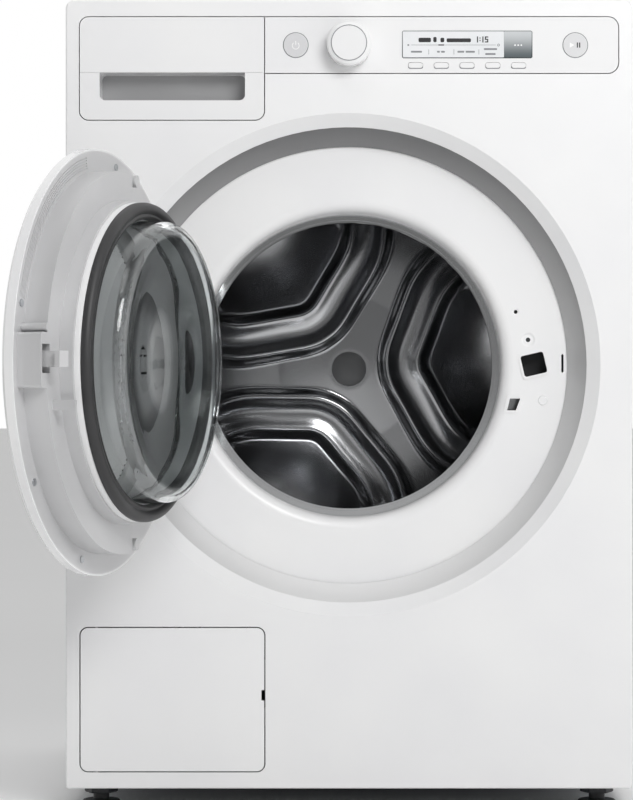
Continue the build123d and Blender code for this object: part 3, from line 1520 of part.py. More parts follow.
with BuildPart() as door_inner_frame:
    # the raised part on the latch side
    with BuildSketch(door_section):
        outline((frame_radius - frame_wall, door_rim_depth - frame_wall),
                (frame_radius, door_rim_depth - frame_wall), (frame_radius, frame_depth),
                (collar_radius - frame_wall, frame_depth),
                (collar_radius - frame_wall, frame_top), (frame_radius - frame_wall, frame_top))
    revolve(axis=axis_of(door_section))
    with BuildSketch(face_at(door_section, door_rim_depth - frame_wall)):
        panel(-2 * door_radius, frame_end, -door_radius, door_radius)
    extrude(amount=-door_radius, mode=Mode.SUBTRACT)
    with BuildSketch(face_at(door_section, door_rim_depth - frame_wall)):
        Circle(frame_radius)
        Circle(collar_radius - frame_wall, mode=Mode.SUBTRACT)
        panel(frame_end, frame_end + frame_wall, -door_radius, door_radius, mode=Mode.INTERSECT)
    extrude(amount=-(frame_depth - door_rim_depth + frame_wall))
    # flange, collar and the seat of the glass
    with BuildSketch(door_section):
        outline((frame_edge, door_rim_depth - frame_wall), (frame_edge, door_rim_depth),
                (collar_radius, door_rim_depth), (collar_radius, collar_depth),
                (collar_radius - frame_wall, collar_depth), (collar_radius - frame_wall, glass_seat),
                (frame_inner, glass_seat), (frame_inner, glass_seat - frame_wall),
                (collar_radius - frame_wall, glass_seat - frame_wall),
                (collar_radius - frame_wall, door_rim_depth - frame_wall))
    revolve(axis=axis_of(door_section))
    # latch housing
    with BuildSketch(face_at(door_section, door_rim_depth)):
        panel(latch_block_left, latch_block_right, -latch_block_half, latch_block_half, frame_wall)
    extrude(amount=-(frame_depth - door_rim_depth))
    with BuildSketch(face_at(door_section, latch_floor)):
        panel(latch_slot_left, latch_slot_right, latch_slot_bottom, latch_slot_top)
    extrude(amount=-(frame_depth - latch_floor), mode=Mode.SUBTRACT)
    # bumpers, screw bosses, guide rod and tongue
    with BuildSketch(face_at(door_section, door_rim_depth)):
        with Locations((bumper_x, bumper_z), (bumper_x, -bumper_z)):
            Circle(bumper_radius)
    extrude(amount=-(bumper_depth - door_rim_depth))
    with BuildSketch(face_at(door_section, door_rim_depth)):
        with Locations((bumper_x, boss_z), (bumper_x, -boss_z)):
            Circle(boss_radius)
    extrude(amount=-(boss_depth - door_rim_depth))
    with BuildSketch(face_at(door_section, door_rim_depth)):
        with Locations((rod_x, rod_z)):
            Circle(rod_radius)
    extrude(amount=-(rod_depth - door_rim_depth))
    with BuildSketch(Plane(door_section.origin + door_section.x_dir * (tongue_x - tongue_thickness / 2),
                           x_dir=door_section.y_dir, z_dir=door_section.x_dir)):
        with Locations(((frame_depth + tongue_depth) / 2, tongue_z)):
            SlotOverall(2 * (tongue_depth - frame_depth), tongue_width)
        for near, end in ((-door_radius, frame_depth), (tongue_depth, 2 * door_radius)):
            panel(near, end, tongue_z - tongue_width, tongue_z + tongue_width, mode=Mode.SUBTRACT)
    extrude(amount=tongue_thickness)
    # grip grooves on the flange
    for groove_number in range(grip_grooves):
        groove_radius = grip_groove_first + groove_number * grip_groove_pitch
        with BuildSketch(face_at(door_section, door_rim_depth)):
            with BuildLine():
                CenterArc((0, 0), groove_radius, grip_start, grip_sweep)
            trace(line_width=grip_groove_width)
        extrude(amount=grip_groove_depth, mode=Mode.SUBTRACT)
    # the hinge side stays clear of the knuckles
    with BuildSketch(face_at(door_section, -door_radius)):
        panel(notch_left, hinge_knuckle_radius + hinge_gap - hinge_offset, -notch_half, notch_half)
    extrude(amount=-2 * door_radius, mode=Mode.SUBTRACT)
    with BuildSketch(face_at(door_section, door_rim_depth)):
        for angle in door_screw_angles:
            with PolarLocations(door_screw_radius, 1, start_angle=angle):
                Circle(screw_radius + screw_clearance)
    extrude(amount=frame_wall, mode=Mode.SUBTRACT)
finish(door_inner_frame, "door_inner_frame")

glass_lap = 9.0
glass_flange = frame_inner + glass_lap
bowl_corner = 14.0  # crown to where the bowl's wall starts to turn in
bowl_shoulder_radius = 112.0
bowl_shoulder_drop = 6.0  # crown to the shoulder

with BuildPart() as door_glass:
    with BuildSketch(door_section):
        with BuildLine():
            rim = Polyline((glass_flange, glass_seat), (glass_flange, glass_seat + glass_wall),
                           (bowl_radius, glass_seat + glass_wall),
                           (bowl_radius - glass_wall / 2, bowl_depth - bowl_corner))
            crown = Spline(rim @ 1, (bowl_shoulder_radius, bowl_depth - bowl_shoulder_drop), (0, bowl_depth),
                           tangents=[rim % 1, (-1, 0)])
            middle = Line(crown @ 1, (0, bowl_depth - glass_wall))
            inner = Spline(middle @ 1,
                           (bowl_shoulder_radius - glass_wall / 2,
                            bowl_depth - bowl_shoulder_drop - glass_wall),
                           (bowl_radius - glass_wall - glass_wall / 2, bowl_depth - bowl_corner - glass_wall / 2),
                           tangents=[(1, 0), -(rim % 1)])
            Polyline(inner @ 1, (bowl_radius - glass_wall, glass_seat), rim @ 0)
        make_face()
    revolve(axis=axis_of(door_section))
finish(door_glass, "door_glass")

seal_side = 1.5
seal_plug_radius = collar_radius - frame_wall - hose_gap

with BuildPart() as door_seal:
    with BuildSketch(door_section):
        seat = glass_seat + glass_wall
        with BuildLine():
            crest = ThreePointArc((seal_inner_radius + hose_gap, seal_depth - seal_side),
                                  ((seal_inner_radius + seal_outer_radius) / 2, seal_depth),
                                  (seal_outer_radius, seal_depth - seal_side))
            Polyline(crest @ 1, (seal_outer_radius, collar_depth), (seal_plug_radius, collar_depth),
                     (seal_plug_radius, seat), (seal_inner_radius + hose_gap, seat), crest @ 0)
        make_face()
    revolve(axis=axis_of(door_section))
finish(door_seal, "door_seal")

hinge_axis = door_section.origin - door_section.x_dir * hinge_offset + door_section.y_dir * hinge_depth
hinge_section = Plane(hinge_axis, x_dir=door_section.x_dir, z_dir=(0, 0, 1))

with BuildPart() as hinge_arm:
    with BuildSketch(hinge_section.offset(-hinge_arm_length / 2)):
        Circle(hinge_knuckle_radius)
        panel(0, arm_right, door_rim_depth - hinge_depth, door_rim_depth - hinge_depth + frame_wall)
        Circle(hinge_pin_radius + pin_clearance, mode=Mode.SUBTRACT)
    extrude(amount=hinge_arm_length)
finish(hinge_arm, "hinge_arm")

door_screw_head = 3.6

with BuildPart() as door_screws:
    with BuildSketch(face_at(door_section, door_rim_depth)):
        for angle in door_screw_angles:
            with PolarLocations(door_screw_radius, 1, start_angle=angle):
                Circle(screw_radius)
    extrude(amount=frame_wall)
    with BuildSketch(face_at(door_section, door_rim_depth)):
        for angle in door_screw_angles:
            with PolarLocations(door_screw_radius, 1, start_angle=angle):
                Circle(door_screw_head)
    extrude(amount=-screw_head_height / 2)
    with BuildSketch(face_at(door_section, boss_depth)):
        with Locations((bumper_x, boss_z), (bumper_x, -boss_z)):
            Circle(door_screw_head)
    extrude(amount=-screw_head_height / 2)
finish(door_screws, "door_screws")

hook_pivot_x = 190.0
hook_pivot_depth = 24.0
hook_barb = 7.0
hook_tip = 5.0

with BuildPart() as latch_hook:
    with BuildSketch(Plane(door_section.origin + Vector(0, 0, hook_hole_z - hook_height / 2),
                           x_dir=door_section.x_dir, z_dir=(0, 0, 1))):
        left = hook_pivot_x - hook_thickness / 2
        right = hook_pivot_x + hook_thickness / 2
        outline((left, hook_pivot_depth), (right, hook_pivot_depth), (right, hook_length - 2 * hook_tip),
                (right + hook_barb, hook_length - 2 * hook_tip), (right + hook_barb, hook_length - hook_tip),
                (left + hook_tip, hook_length), (left, hook_length - hook_tip))
        with Locations((hook_pivot_x, hook_pivot_depth)):
            Circle(hook_thickness / 2)
    extrude(amount=hook_height)
finish(latch_hook, "latch_hook")
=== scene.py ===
import math

import bmesh
import bpy
from mathutils import Matrix, Vector
from mathutils.kdtree import KDTree


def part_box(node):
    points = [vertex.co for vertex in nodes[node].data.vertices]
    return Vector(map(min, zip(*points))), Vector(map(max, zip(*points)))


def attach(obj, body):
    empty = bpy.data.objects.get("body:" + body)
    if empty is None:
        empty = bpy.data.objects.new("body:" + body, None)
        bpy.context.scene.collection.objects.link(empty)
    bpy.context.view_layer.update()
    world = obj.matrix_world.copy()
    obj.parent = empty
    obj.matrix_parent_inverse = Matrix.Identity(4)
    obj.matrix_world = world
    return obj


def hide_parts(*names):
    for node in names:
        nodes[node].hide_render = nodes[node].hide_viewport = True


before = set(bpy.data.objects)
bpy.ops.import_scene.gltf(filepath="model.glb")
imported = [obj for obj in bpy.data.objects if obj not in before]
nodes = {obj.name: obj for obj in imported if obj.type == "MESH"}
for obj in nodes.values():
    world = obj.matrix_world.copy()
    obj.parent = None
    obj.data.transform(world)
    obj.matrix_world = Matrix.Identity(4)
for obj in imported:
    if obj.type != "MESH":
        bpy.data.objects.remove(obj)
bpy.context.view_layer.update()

# A front load washing machine with its door open. Sizes in the dictionaries are millimetres;
# each mesh is scaled to metres when it is made into a piece.

mm = 0.001
cabinetLow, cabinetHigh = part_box("front_panel")
frontY = cabinetLow.y / mm  # the cabinet's front, from which depths are measured back
drumLow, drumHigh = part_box("drum_shell")
drumHeight = (drumLow.z + drumHigh.z) / 2 / mm
door = {
    "openAngle": 108,  # how far it stands open at rest
    "hingeOffset": 188,  # pin to the left of the drum's axis
    "hingeDepth": 11,  # pin behind the cabinet's front
}
hingePin = Vector((-door["hingeOffset"], frontY + door["hingeDepth"], drumHeight))
# The door's pieces are drawn closed, then turned about the hinge pin to where it stands open.
doorTurn = (
    Matrix.Translation(hingePin)
    @ Matrix.Rotation(math.radians(-door["openAngle"]), 4, "Z")
    @ Matrix.Translation(-hingePin)
)

print("frame loaded,", len(nodes), "nodes")

# ---- materials ----


def hexColour(code):
    # sRGB hex to linear
    channels = [int(code[i:i + 2], 16) / 255 for i in (0, 2, 4)]
    linear = [c / 12.92 if c <= 0.04045 else ((c + 0.055) / 1.055) ** 2.4 for c in channels]
    return (*linear, 1)


def addNode(tree, kind, inputs=None, **settings):
    node = tree.nodes.new(kind)
    for key, value in settings.items():
        setattr(node, key, value)
    for key, value in (inputs or {}).items():
        if isinstance(value, bpy.types.NodeSocket):
            tree.links.new(value, node.inputs[key])
        else:
            node.inputs[key].default_value = value
    return node


def startMaterial(name):
    material = bpy.data.materials.new(name)
    material.use_nodes = True
    tree = material.node_tree
    tree.nodes.clear()
    shader = addNode(tree, "ShaderNodeBsdfPrincipled")
    addNode(tree, "ShaderNodeOutputMaterial", {"Surface": shader.outputs[0]})
    place = addNode(tree, "ShaderNodeTexCoord").outputs["Object"]
    return material, tree, shader, place


def surface(name, finish):
    # Every moulded, painted, plated and cast finish: a colour that drifts a little, gloss that
    # varies with handling, and the fine relief that its process leaves. Grain, drift and relief
    # are millimetres.
    material, tree, shader, place = startMaterial(name)
    grain = addNode(tree, "ShaderNodeTexNoise", {
        "Vector": place, "Scale": 1 / (finish["grain"] * mm),
        "Detail": finish.get("detail", 3), "Roughness": 0.55})
    drift = addNode(tree, "ShaderNodeTexNoise", {
        "Vector": place, "Scale": 1 / (finish.get("drift", 140) * mm), "Detail": 2})
    tint = addNode(tree, "ShaderNodeMapRange", {
        "Value": drift.outputs["Fac"], "From Min": 0.35, "From Max": 0.65})
    colour = addNode(tree, "ShaderNodeMix", {
        "Factor": tint.outputs[0], 6: hexColour(finish["colour"]), 7: hexColour(finish["shade"])},
        data_type="RGBA")
    gloss = addNode(tree, "ShaderNodeMapRange", {
        "Value": drift.outputs["Fac"], "From Min": 0.3, "From Max": 0.7,
        "To Min": finish["roughness"] - finish["spread"],
        "To Max": finish["roughness"] + finish["spread"]})
    relief = addNode(tree, "ShaderNodeBump", {
        "Height": grain.outputs["Fac"], "Distance": finish["relief"] * mm,
        "Strength": finish.get("strength", 0.5)})
    tree.links.new(colour.outputs[2], shader.inputs["Base Color"])
    tree.links.new(gloss.outputs[0], shader.inputs["Roughness"])
    tree.links.new(relief.outputs[0], shader.inputs["Normal"])
    shader.inputs["Metallic"].default_value = finish.get("metallic", 0)
    if not finish.get("metallic", 0):
        shader.inputs["IOR"].default_value = finish.get("ior", 1.5)
    shader.inputs["Coat Weight"].default_value = finish.get("coat", 0)
    shader.inputs["Coat Roughness"].default_value = finish.get("coatRoughness", 0.05)
    return material


finishes = {
    # powder coat on sheet steel: even white with a faint orange peel in its reflections
    "powderCoatedSteel": {"colour": "f4f4f4", "shade": "f0f0f1", "roughness": 0.34, "spread": 0.03,
                          "grain": 2.2, "relief": 0.02, "coat": 0.15, "coatRoughness": 0.2},
    # injection moulded ABS, polished tool: hard gloss, almost no texture
    "glossAbs": {"colour": "f4f4f4", "shade": "f1f1f2", "roughness": 0.14, "spread": 0.03,
                 "grain": 6, "relief": 0.01, "coat": 0.4, "coatRoughness": 0.04},
    # the same ABS from an etched tool: a soft sheen
    "satinAbs": {"colour": "ececec", "shade": "e6e6e7", "roughness": 0.42, "spread": 0.04,
                 "grain": 0.8, "relief": 0.02},
    # two coat metallic lacquer over ABS: silver grey with a broad soft highlight
    "silverLacquer": {"colour": "d2d2d3", "shade": "cacacb", "roughness": 0.36, "spread": 0.04,
                      "grain": 0.5, "relief": 0.006, "metallic": 0.25, "coat": 0.1},
    # etched ABS, coloured mid grey as painted shade at the back of the drawer's grip recess
    "gripPaintedShade": {"colour": "a9a9aa", "shade": "a2a2a3", "roughness": 0.45, "spread": 0.04,
                 "grain": 0.8, "relief": 0.02},
    # moulded cap with a soft shine
    "hubCap": {"colour": "9b9c9e", "shade": "939496", "roughness": 0.3, "spread": 0.04,
               "grain": 0.8, "relief": 0.01},
    # glass filled polypropylene, moulded grey: matt with a little flow mottle
    "greyPolypropylene": {"colour": "8d8f91", "shade": "808285", "roughness": 0.55, "spread": 0.05,
                          "grain": 1.5, "relief": 0.03},
    # black polyamide: tough moulded feet and fittings, faintly grainy
    "blackPolyamide": {"colour": "26272a", "shade": "1e1f21", "roughness": 0.5, "spread": 0.06,
                       "grain": 1.2, "relief": 0.03},
    # electro-galvanised sheet: dull silver with small cloudy spangle
    "galvanisedSteel": {"colour": "b4b7ba", "shade": "9fa3a7", "roughness": 0.4, "spread": 0.08,
                        "grain": 7, "relief": 0.03, "drift": 22, "metallic": 0.9},
    # zinc plated steel: brighter, with a faint grain
    "zincPlate": {"colour": "c6c8ca", "shade": "b2b5b8", "roughness": 0.28, "spread": 0.06,
                  "grain": 0.8, "relief": 0.01, "metallic": 1},
    # sand cast iron: dark and rough
    "castIron": {"colour": "3a3b3d", "shade": "303133", "roughness": 0.6, "spread": 0.08,
                 "grain": 1.4, "relief": 0.12, "metallic": 0.6},
    # die cast aluminium: pale, with a fine skin
    "castAluminium": {"colour": "b9bbbd", "shade": "a6a9ac", "roughness": 0.42, "spread": 0.06,
                      "grain": 1.6, "relief": 0.06, "metallic": 1},
    # oil hardened wire: dark and shiny
    "springSteel": {"colour": "57595c", "shade": "4a4c4f", "roughness": 0.35, "spread": 0.05,
                    "grain": 0.9, "relief": 0.01, "metallic": 1},
    # concrete from a mould: matt, with sand showing
    "castConcrete": {"colour": "8f8e8a", "shade": "7d7c78", "roughness": 0.85, "spread": 0.06,
                     "grain": 2.8, "relief": 0.5, "detail": 8},
    # EPDM rubber: near black, velvety, with a dry bloom
    "epdmRubber": {"colour": "3a3a3b", "shade": "2e2e2f", "roughness": 0.48, "spread": 0.07,
                   "grain": 0.9, "relief": 0.02},
    # screen printed inks: flat and even
    # this black is also the painted shade in the drum wall's holes
    "screenPrintBlackAndShade": {"colour": "141416", "shade": "1c1c1e", "roughness": 0.4, "spread": 0.05,
                         "grain": 0.3, "relief": 0.002},
    # this grey is also the painted shadow under the soft keys
    "screenPrintGreyAndShadow": {"colour": "8b8d90", "shade": "7f8184", "roughness": 0.4, "spread": 0.05,
                        "grain": 0.3, "relief": 0.002},
    "screenPrintWhite": {"colour": "fbfbfb", "shade": "f6f6f6", "roughness": 0.35, "spread": 0.05,
                         "grain": 0.3, "relief": 0.002},
    # pale print on a button's face
    "screenPrintPale": {"colour": "dcdcdd", "shade": "d6d6d8", "roughness": 0.3, "spread": 0.05,
                        "grain": 0.3, "relief": 0.002},
    # a lit liquid crystal panel: white and glossy
    "lcdWhite": {"colour": "f0f1f3", "shade": "e8eaec", "roughness": 0.1, "spread": 0.02,
                 "grain": 0.3, "relief": 0.001, "drift": 60},
}
materials = {name: surface(name, finish) for name, finish in finishes.items()}


def stainless(name, finish):
    # Cold rolled stainless sheet: a bright mirror, broken by a fine grain and slow cloudiness.
    material, tree, shader, place = startMaterial(name)
    fine = addNode(tree, "ShaderNodeTexNoise", {
        "Vector": place, "Scale": 1 / (finish["grain"] * mm), "Detail": 4, "Roughness": 0.6})
    cloud = addNode(tree, "ShaderNodeTexNoise", {
        "Vector": place, "Scale": 1 / (finish["cloud"] * mm), "Detail": 3})
    both = addNode(tree, "ShaderNodeMix", {
        "Factor": 0.5, 2: fine.outputs["Fac"], 3: cloud.outputs["Fac"]})
    gloss = addNode(tree, "ShaderNodeMapRange", {
        "Value": both.outputs[0], "From Min": 0.3, "From Max": 0.7,
        "To Min": finish["roughness"] - finish["spread"],
        "To Max": finish["roughness"] + finish["spread"]})
    colour = addNode(tree, "ShaderNodeMix", {
        "Factor": cloud.outputs["Fac"], 6: hexColour(finish["colour"]), 7: hexColour(finish["shade"])},
        data_type="RGBA")
    relief = addNode(tree, "ShaderNodeBump", {
        "Height": fine.outputs["Fac"], "Distance": finish["relief"] * mm, "Strength": 0.3})
    tree.links.new(colour.outputs[2], shader.inputs["Base Color"])
    tree.links.new(gloss.outputs[0], shader.inputs["Roughness"])
    tree.links.new(relief.outputs[0], shader.inputs["Normal"])
    shader.inputs["Metallic"].default_value = 1
    return material


materials["drumStainless"] = stainless("drumStainless", {
    "colour": "bcbdbf", "shade": "b0b1b3", "roughness": 0.17, "spread": 0.03,
    "grain": 1.2, "relief": 0.002, "cloud": 90})
materials["polishedStainless"] = stainless("polishedStainless", {
    "colour": "d9dadb", "shade": "cfd0d2", "roughness": 0.1, "spread": 0.03,
    "grain": 0.8, "relief": 0.002, "cloud": 90})


def glass(name, tint, roughness):
    # Pressed soda-lime glass: clear, with the slow waviness that pressing leaves.
    material, tree, shader, place = startMaterial(name)
    waves = addNode(tree, "ShaderNodeTexNoise", {
        "Vector": place, "Scale": 1 / (45 * mm), "Detail": 1})
    relief = addNode(tree, "ShaderNodeBump", {
        "Height": waves.outputs["Fac"], "Distance": 0.15 * mm, "Strength": 0.3})
    smear = addNode(tree, "ShaderNodeMapRange", {
        "Value": waves.outputs["Fac"], "To Min": roughness, "To Max": roughness + 0.02})
    tree.links.new(relief.outputs[0], shader.inputs["Normal"])
    tree.links.new(smear.outputs[0], shader.inputs["Roughness"])
    shader.inputs["Base Color"].default_value = hexColour(tint)
    shader.inputs["Transmission Weight"].default_value = 1
    shader.inputs["IOR"].default_value = 1.5
    return material


def heightFade(tree, place, low, high, bottom, top, blend="LINEAR"):
    # A colour that turns from one to another between two heights in millimetres.
    axes = addNode(tree, "ShaderNodeSeparateXYZ", {0: place})
    fade = addNode(tree, "ShaderNodeMapRange", {
        "Value": axes.outputs["Z"], "From Min": bottom * mm, "From Max": top * mm},
        interpolation_type=blend)
    return addNode(tree, "ShaderNodeMix", {
        "Factor": fade.outputs[0], 6: hexColour(low), 7: hexColour(high)}, data_type="RGBA")


def shadePaintedLacquer(name, high, low, bottom, top):
    # Metallic lacquer whose colour darkens with height: painted shade. The light here shades the ring
    # too evenly, so part of the shade on its upper, downward side, and the brighter foot, are painted
    # into the colour.
    material, tree, shader, place = startMaterial(name)
    colour = heightFade(tree, place, low, high, bottom, top)
    flake = addNode(tree, "ShaderNodeTexNoise", {
        "Vector": place, "Scale": 1 / (0.5 * mm), "Detail": 3})
    gloss = addNode(tree, "ShaderNodeMapRange", {
        "Value": flake.outputs["Fac"], "To Min": 0.3, "To Max": 0.42})
    relief = addNode(tree, "ShaderNodeBump", {
        "Height": flake.outputs["Fac"], "Distance": 0.006 * mm, "Strength": 0.5})
    tree.links.new(colour.outputs[2], shader.inputs["Base Color"])
    tree.links.new(gloss.outputs[0], shader.inputs["Roughness"])
    tree.links.new(relief.outputs[0], shader.inputs["Normal"])
    shader.inputs["Metallic"].default_value = 0.3
    return material


# the porthole ring's painted shade: dark at its top, pale at its foot
materials["ringLacquerPaintedShade"] = shadePaintedLacquer(
    "ringLacquerPaintedShade", "868687", "f2f2f2", drumHeight - 250, drumHeight + 230)


def screenFade(name, low, high, bottom, top):
    # A lit screen's panel under its clear cover, its colour turning from slate at the bottom to pale at
    # the top.
    material, tree, shader, place = startMaterial(name)
    colour = heightFade(tree, place, low, high, bottom, top, "SMOOTHSTEP")
    cells = addNode(tree, "ShaderNodeTexNoise", {
        "Vector": place, "Scale": 1 / (0.4 * mm), "Detail": 1})
    gloss = addNode(tree, "ShaderNodeMapRange", {
        "Value": cells.outputs["Fac"], "To Min": 0.08, "To Max": 0.14})
    tree.links.new(colour.outputs[2], shader.inputs["Base Color"])
    tree.links.new(gloss.outputs[0], shader.inputs["Roughness"])
    return material


materials["clearGlass"] = glass("clearGlass", "f7fafa", 0.0)
materials["smokedGlass"] = glass("smokedGlass", "f2f4f4", 0.02)
print("materials made:", len(materials))

# ---- finish of each carried-over node ----

nodeFinish = {
    "powderCoatedSteel": ["cabinet_wrapper", "top_panel", "front_panel", "front_plate"],
    "glossAbs": ["control_fascia", "drawer_front", "service_flap", "power_button", "start_button",
                 "selector_knob", "door_outer_ring", "soft_key_1", "soft_key_2", "soft_key_3",
                 "soft_key_4", "soft_key_5"],
    "satinAbs": ["dispenser_housing", "drawer_tray", "inlet_valve", "display_module"],
    "ringLacquerPaintedShade": ["porthole_ring"],
    "silverLacquer": ["door_inner_frame", "latch_hook"],
    "greyPolypropylene": ["drain_pump", "filter_cap", "damper_cylinders"],
    "blackPolyamide": ["door_lock", "mains_gland", "foot_locknuts", "foot_front_left",
                       "foot_front_right", "foot_rear_left", "foot_rear_right"],
    "galvanisedSteel": ["base_tray", "back_panel"],
    "zincPlate": ["cabinet_screws", "hinge_arm", "hinge_bracket", "door_screws", "damper_rods",
                  "drum_shaft", "motor_rotor"],
    "castIron": ["bearing_housing"],
    "castAluminium": ["motor_housing", "drum_pulley"],
    "springSteel": ["damper_springs"],
    "castConcrete": ["counterweights"],
    "epdmRubber": ["door_seal", "drive_belt", "sump_hose", "dispenser_hose"],
    "drumStainless": ["drum_shell", "drum_back", "drum_lifters", "tub_shell", "tub_front"],
    "polishedStainless": ["steel_lip", "drum_bearings"],
    "clearGlass": ["door_glass"],
    "smokedGlass": ["door_window"],
}
for finishName, names in nodeFinish.items():
    for name in names:
        for slot in nodes[name].material_slots:
            slot.material = materials[finishName]
unfinished = set(nodes) - {name for names in nodeFinish.values() for name in names}
print("nodes without a finish:", sorted(unfinished))

# ---- modelling helpers ----


def pieceFrom(bm, name, finish, body, smoothAngle=35, turn=None):
    # The finished bmesh becomes a piece in metres, in its place, riding on a body.
    if turn is not None:
        bm.transform(turn)
    bm.transform(Matrix.Scale(mm, 4))
    for face in bm.faces:
        face.smooth = True
    for edge in bm.edges:
        edge.smooth = edge.calc_face_angle(0) < math.radians(smoothAngle)
    mesh = bpy.data.meshes.new(name)
    bm.to_mesh(mesh)
    bm.free()
    piece = bpy.data.objects.new(name, mesh)
    bpy.context.scene.collection.objects.link(piece)
    mesh.materials.append(materials[finish])
    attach(piece, body)
    return piece


def lathe(profile, steps=192, closed=True):
    # Spins an outline of (radius, depth) points about the drum's axis.
    bm = bmesh.new()
    centre = Vector((0, frontY, drumHeight))
    points = [bm.verts.new(centre + Vector((radius, depth, 0))) for radius, depth in profile]
    ends = points[1:] + points[:1] if closed else points[1:]
    edges = [bm.edges.new(pair) for pair in zip(points, ends)]
    bmesh.ops.spin(bm, geom=points + edges, cent=centre, axis=(0, 1, 0), angle=math.tau,
                   steps=steps, use_merge=True)
    bmesh.ops.remove_doubles(bm, verts=bm.verts, dist=0.001)
    bmesh.ops.recalc_face_normals(bm, faces=bm.faces)
    return bm


def soften(bm, width, segments, angle=30):
    # Rounds the edges sharper than an angle.
    sharp = [e for e in bm.edges if e.calc_face_angle(0) > math.radians(angle)]
    bmesh.ops.bevel(bm, geom=sharp, offset=width, segments=segments, profile=0.5,
                    affect="EDGES", material=-1, clamp_overlap=True)


def plate(left, right, bottom, top, radius, front, back, corners=6):
    # An upright plate with round corners, from one depth to another.
    bm = bmesh.new()
    places = ((left, bottom), (right, bottom), (right, top), (left, top))
    face = bm.faces.new([bm.verts.new((x, frontY + front, z)) for x, z in places])
    if radius:
        bmesh.ops.bevel(bm, geom=list(face.verts), offset=radius, segments=corners, profile=0.5,
                        affect="VERTICES", material=-1)
    grown = bmesh.ops.extrude_face_region(bm, geom=list(bm.faces))
    moved = [v for v in grown["geom"] if isinstance(v, bmesh.types.BMVert)]
    bmesh.ops.translate(bm, verts=moved, vec=(0, back - front, 0))
    bmesh.ops.recalc_face_normals(bm, faces=bm.faces)
    return bm


def disc(radius, x, z, front, back, steps=48):
    # A round plate, from one depth to another.
    bm = bmesh.new()
    bmesh.ops.create_cone(bm, cap_ends=True, segments=steps, radius1=radius, radius2=radius,
                          depth=back - front)
    bmesh.ops.rotate(bm, verts=bm.verts, matrix=Matrix.Rotation(math.pi / 2, 3, "X"))
    bmesh.ops.translate(bm, verts=bm.verts, vec=(x, frontY + (front + back) / 2, z))
    bmesh.ops.recalc_face_normals(bm, faces=bm.faces)
    return bm


def join(*parts):
    # Puts several bmeshes in the first one.
    first = parts[0]
    for other in parts[1:]:
        spare = bpy.data.meshes.new("spare")
        other.to_mesh(spare)
        other.free()
        first.from_mesh(spare)
        bpy.data.meshes.remove(spare)
    return first


# ---- drum ----

drum = {
    "backDepth": 417,
    "radius": 242,
    "sheet": 1.0,
    "ridgeCount": 3,
    "ridgeTurn": 4.5,  # degrees from the level to the first ridge's point
    "ridgeSpine": [(64, 0), (66.5, 16), (78, 42), (100, 88), (122, 112), (150, 132), (185, 149),
                   (215, 160)],  # half a ridge, along and across its line from the axis
    "spineSteps": 12,
    "ridgeHalf": 32,  # spine to the foot of the flank
    "ridgeFade": 22,  # a ridge sinks into the rim over this width
    "crest": 18.5,  # spine to the edge of the top
    "crestRise": 15,
    "channelDrop": 4,  # the top is this much lower along the spine
    "fieldRise": 6,  # the sheet between the ridges stands this far forward of its rim
    "fieldFade": 30,
    "dishPlace": 155,  # from the axis to the middle of each dish inside a chevron's arms
    "dishRadius": 85,
    "dishDepth": 17,
    "coneFoot": 85,  # the sheet swells from here to the hub
    "coneTop": 25,
    "coneRise": 3,
    "rings": 118,
    "spokes": 360,
}
hubCap = [(0, 407.2), (19.6, 407.2), (20.4, 407.6), (20.8, 408.4), (20.8, 416), (0, 416)]


def smooth(value):
    # An even rise from 0 to 1 with soft ends.
    value = min(max(value, 0), 1)
    return value * value * (3 - 2 * value)


def ridgeTurns():
    # The turn from the level to each ridge.
    return [Matrix.Rotation(math.tau * count / drum["ridgeCount"] + math.radians(drum["ridgeTurn"]), 2)
            for count in range(drum["ridgeCount"])]


def spinePoints():
    # Close points along every ridge's middle, on a smooth curve through the spine's points.
    found = []
    for turn in ridgeTurns():
        for side in (1, -1):
            spine = [Vector((x, side * z)) for x, z in drum["ridgeSpine"]]
            curve = spine[:1]
            for i in range(len(spine) - 1):
                before = spine[i - 1] if i else Vector((spine[1].x, -spine[1].y))
                after = spine[min(i + 2, len(spine) - 1)]
                a, b = spine[i], spine[i + 1]
                for step in range(1, drum["spineSteps"] + 1):
                    t = step / drum["spineSteps"]
                    bend = (2 * before - 5 * a + 4 * b - after) * t * t
                    twist = (3 * a - before - 3 * b + after) * t ** 3
                    curve.append(0.5 * (2 * a + (b - before) * t + bend + twist))
            found += [turn @ p for p in curve]
    return found


def ridgeHeight(distance):
    # Across a ridge: a flank with rounded feet, then a broad top that is slightly hollow.
    crest, half = drum["crest"], drum["ridgeHalf"]
    if distance >= half:
        return 0
    if distance >= crest:
        return drum["crestRise"] * (1 - smooth((distance - crest) / (half - crest)))
    return drum["crestRise"] - drum["channelDrop"] * (1 - (distance / crest) ** 2) ** 1.5


def dishDepth(place):
    # The hollow between a chevron's two arms.
    away = min((Vector(place) - turn @ Vector((drum["dishPlace"], 0))).length for turn in ridgeTurns())
    return drum["dishDepth"] * (1 - min(away / drum["dishRadius"], 1) ** 2)


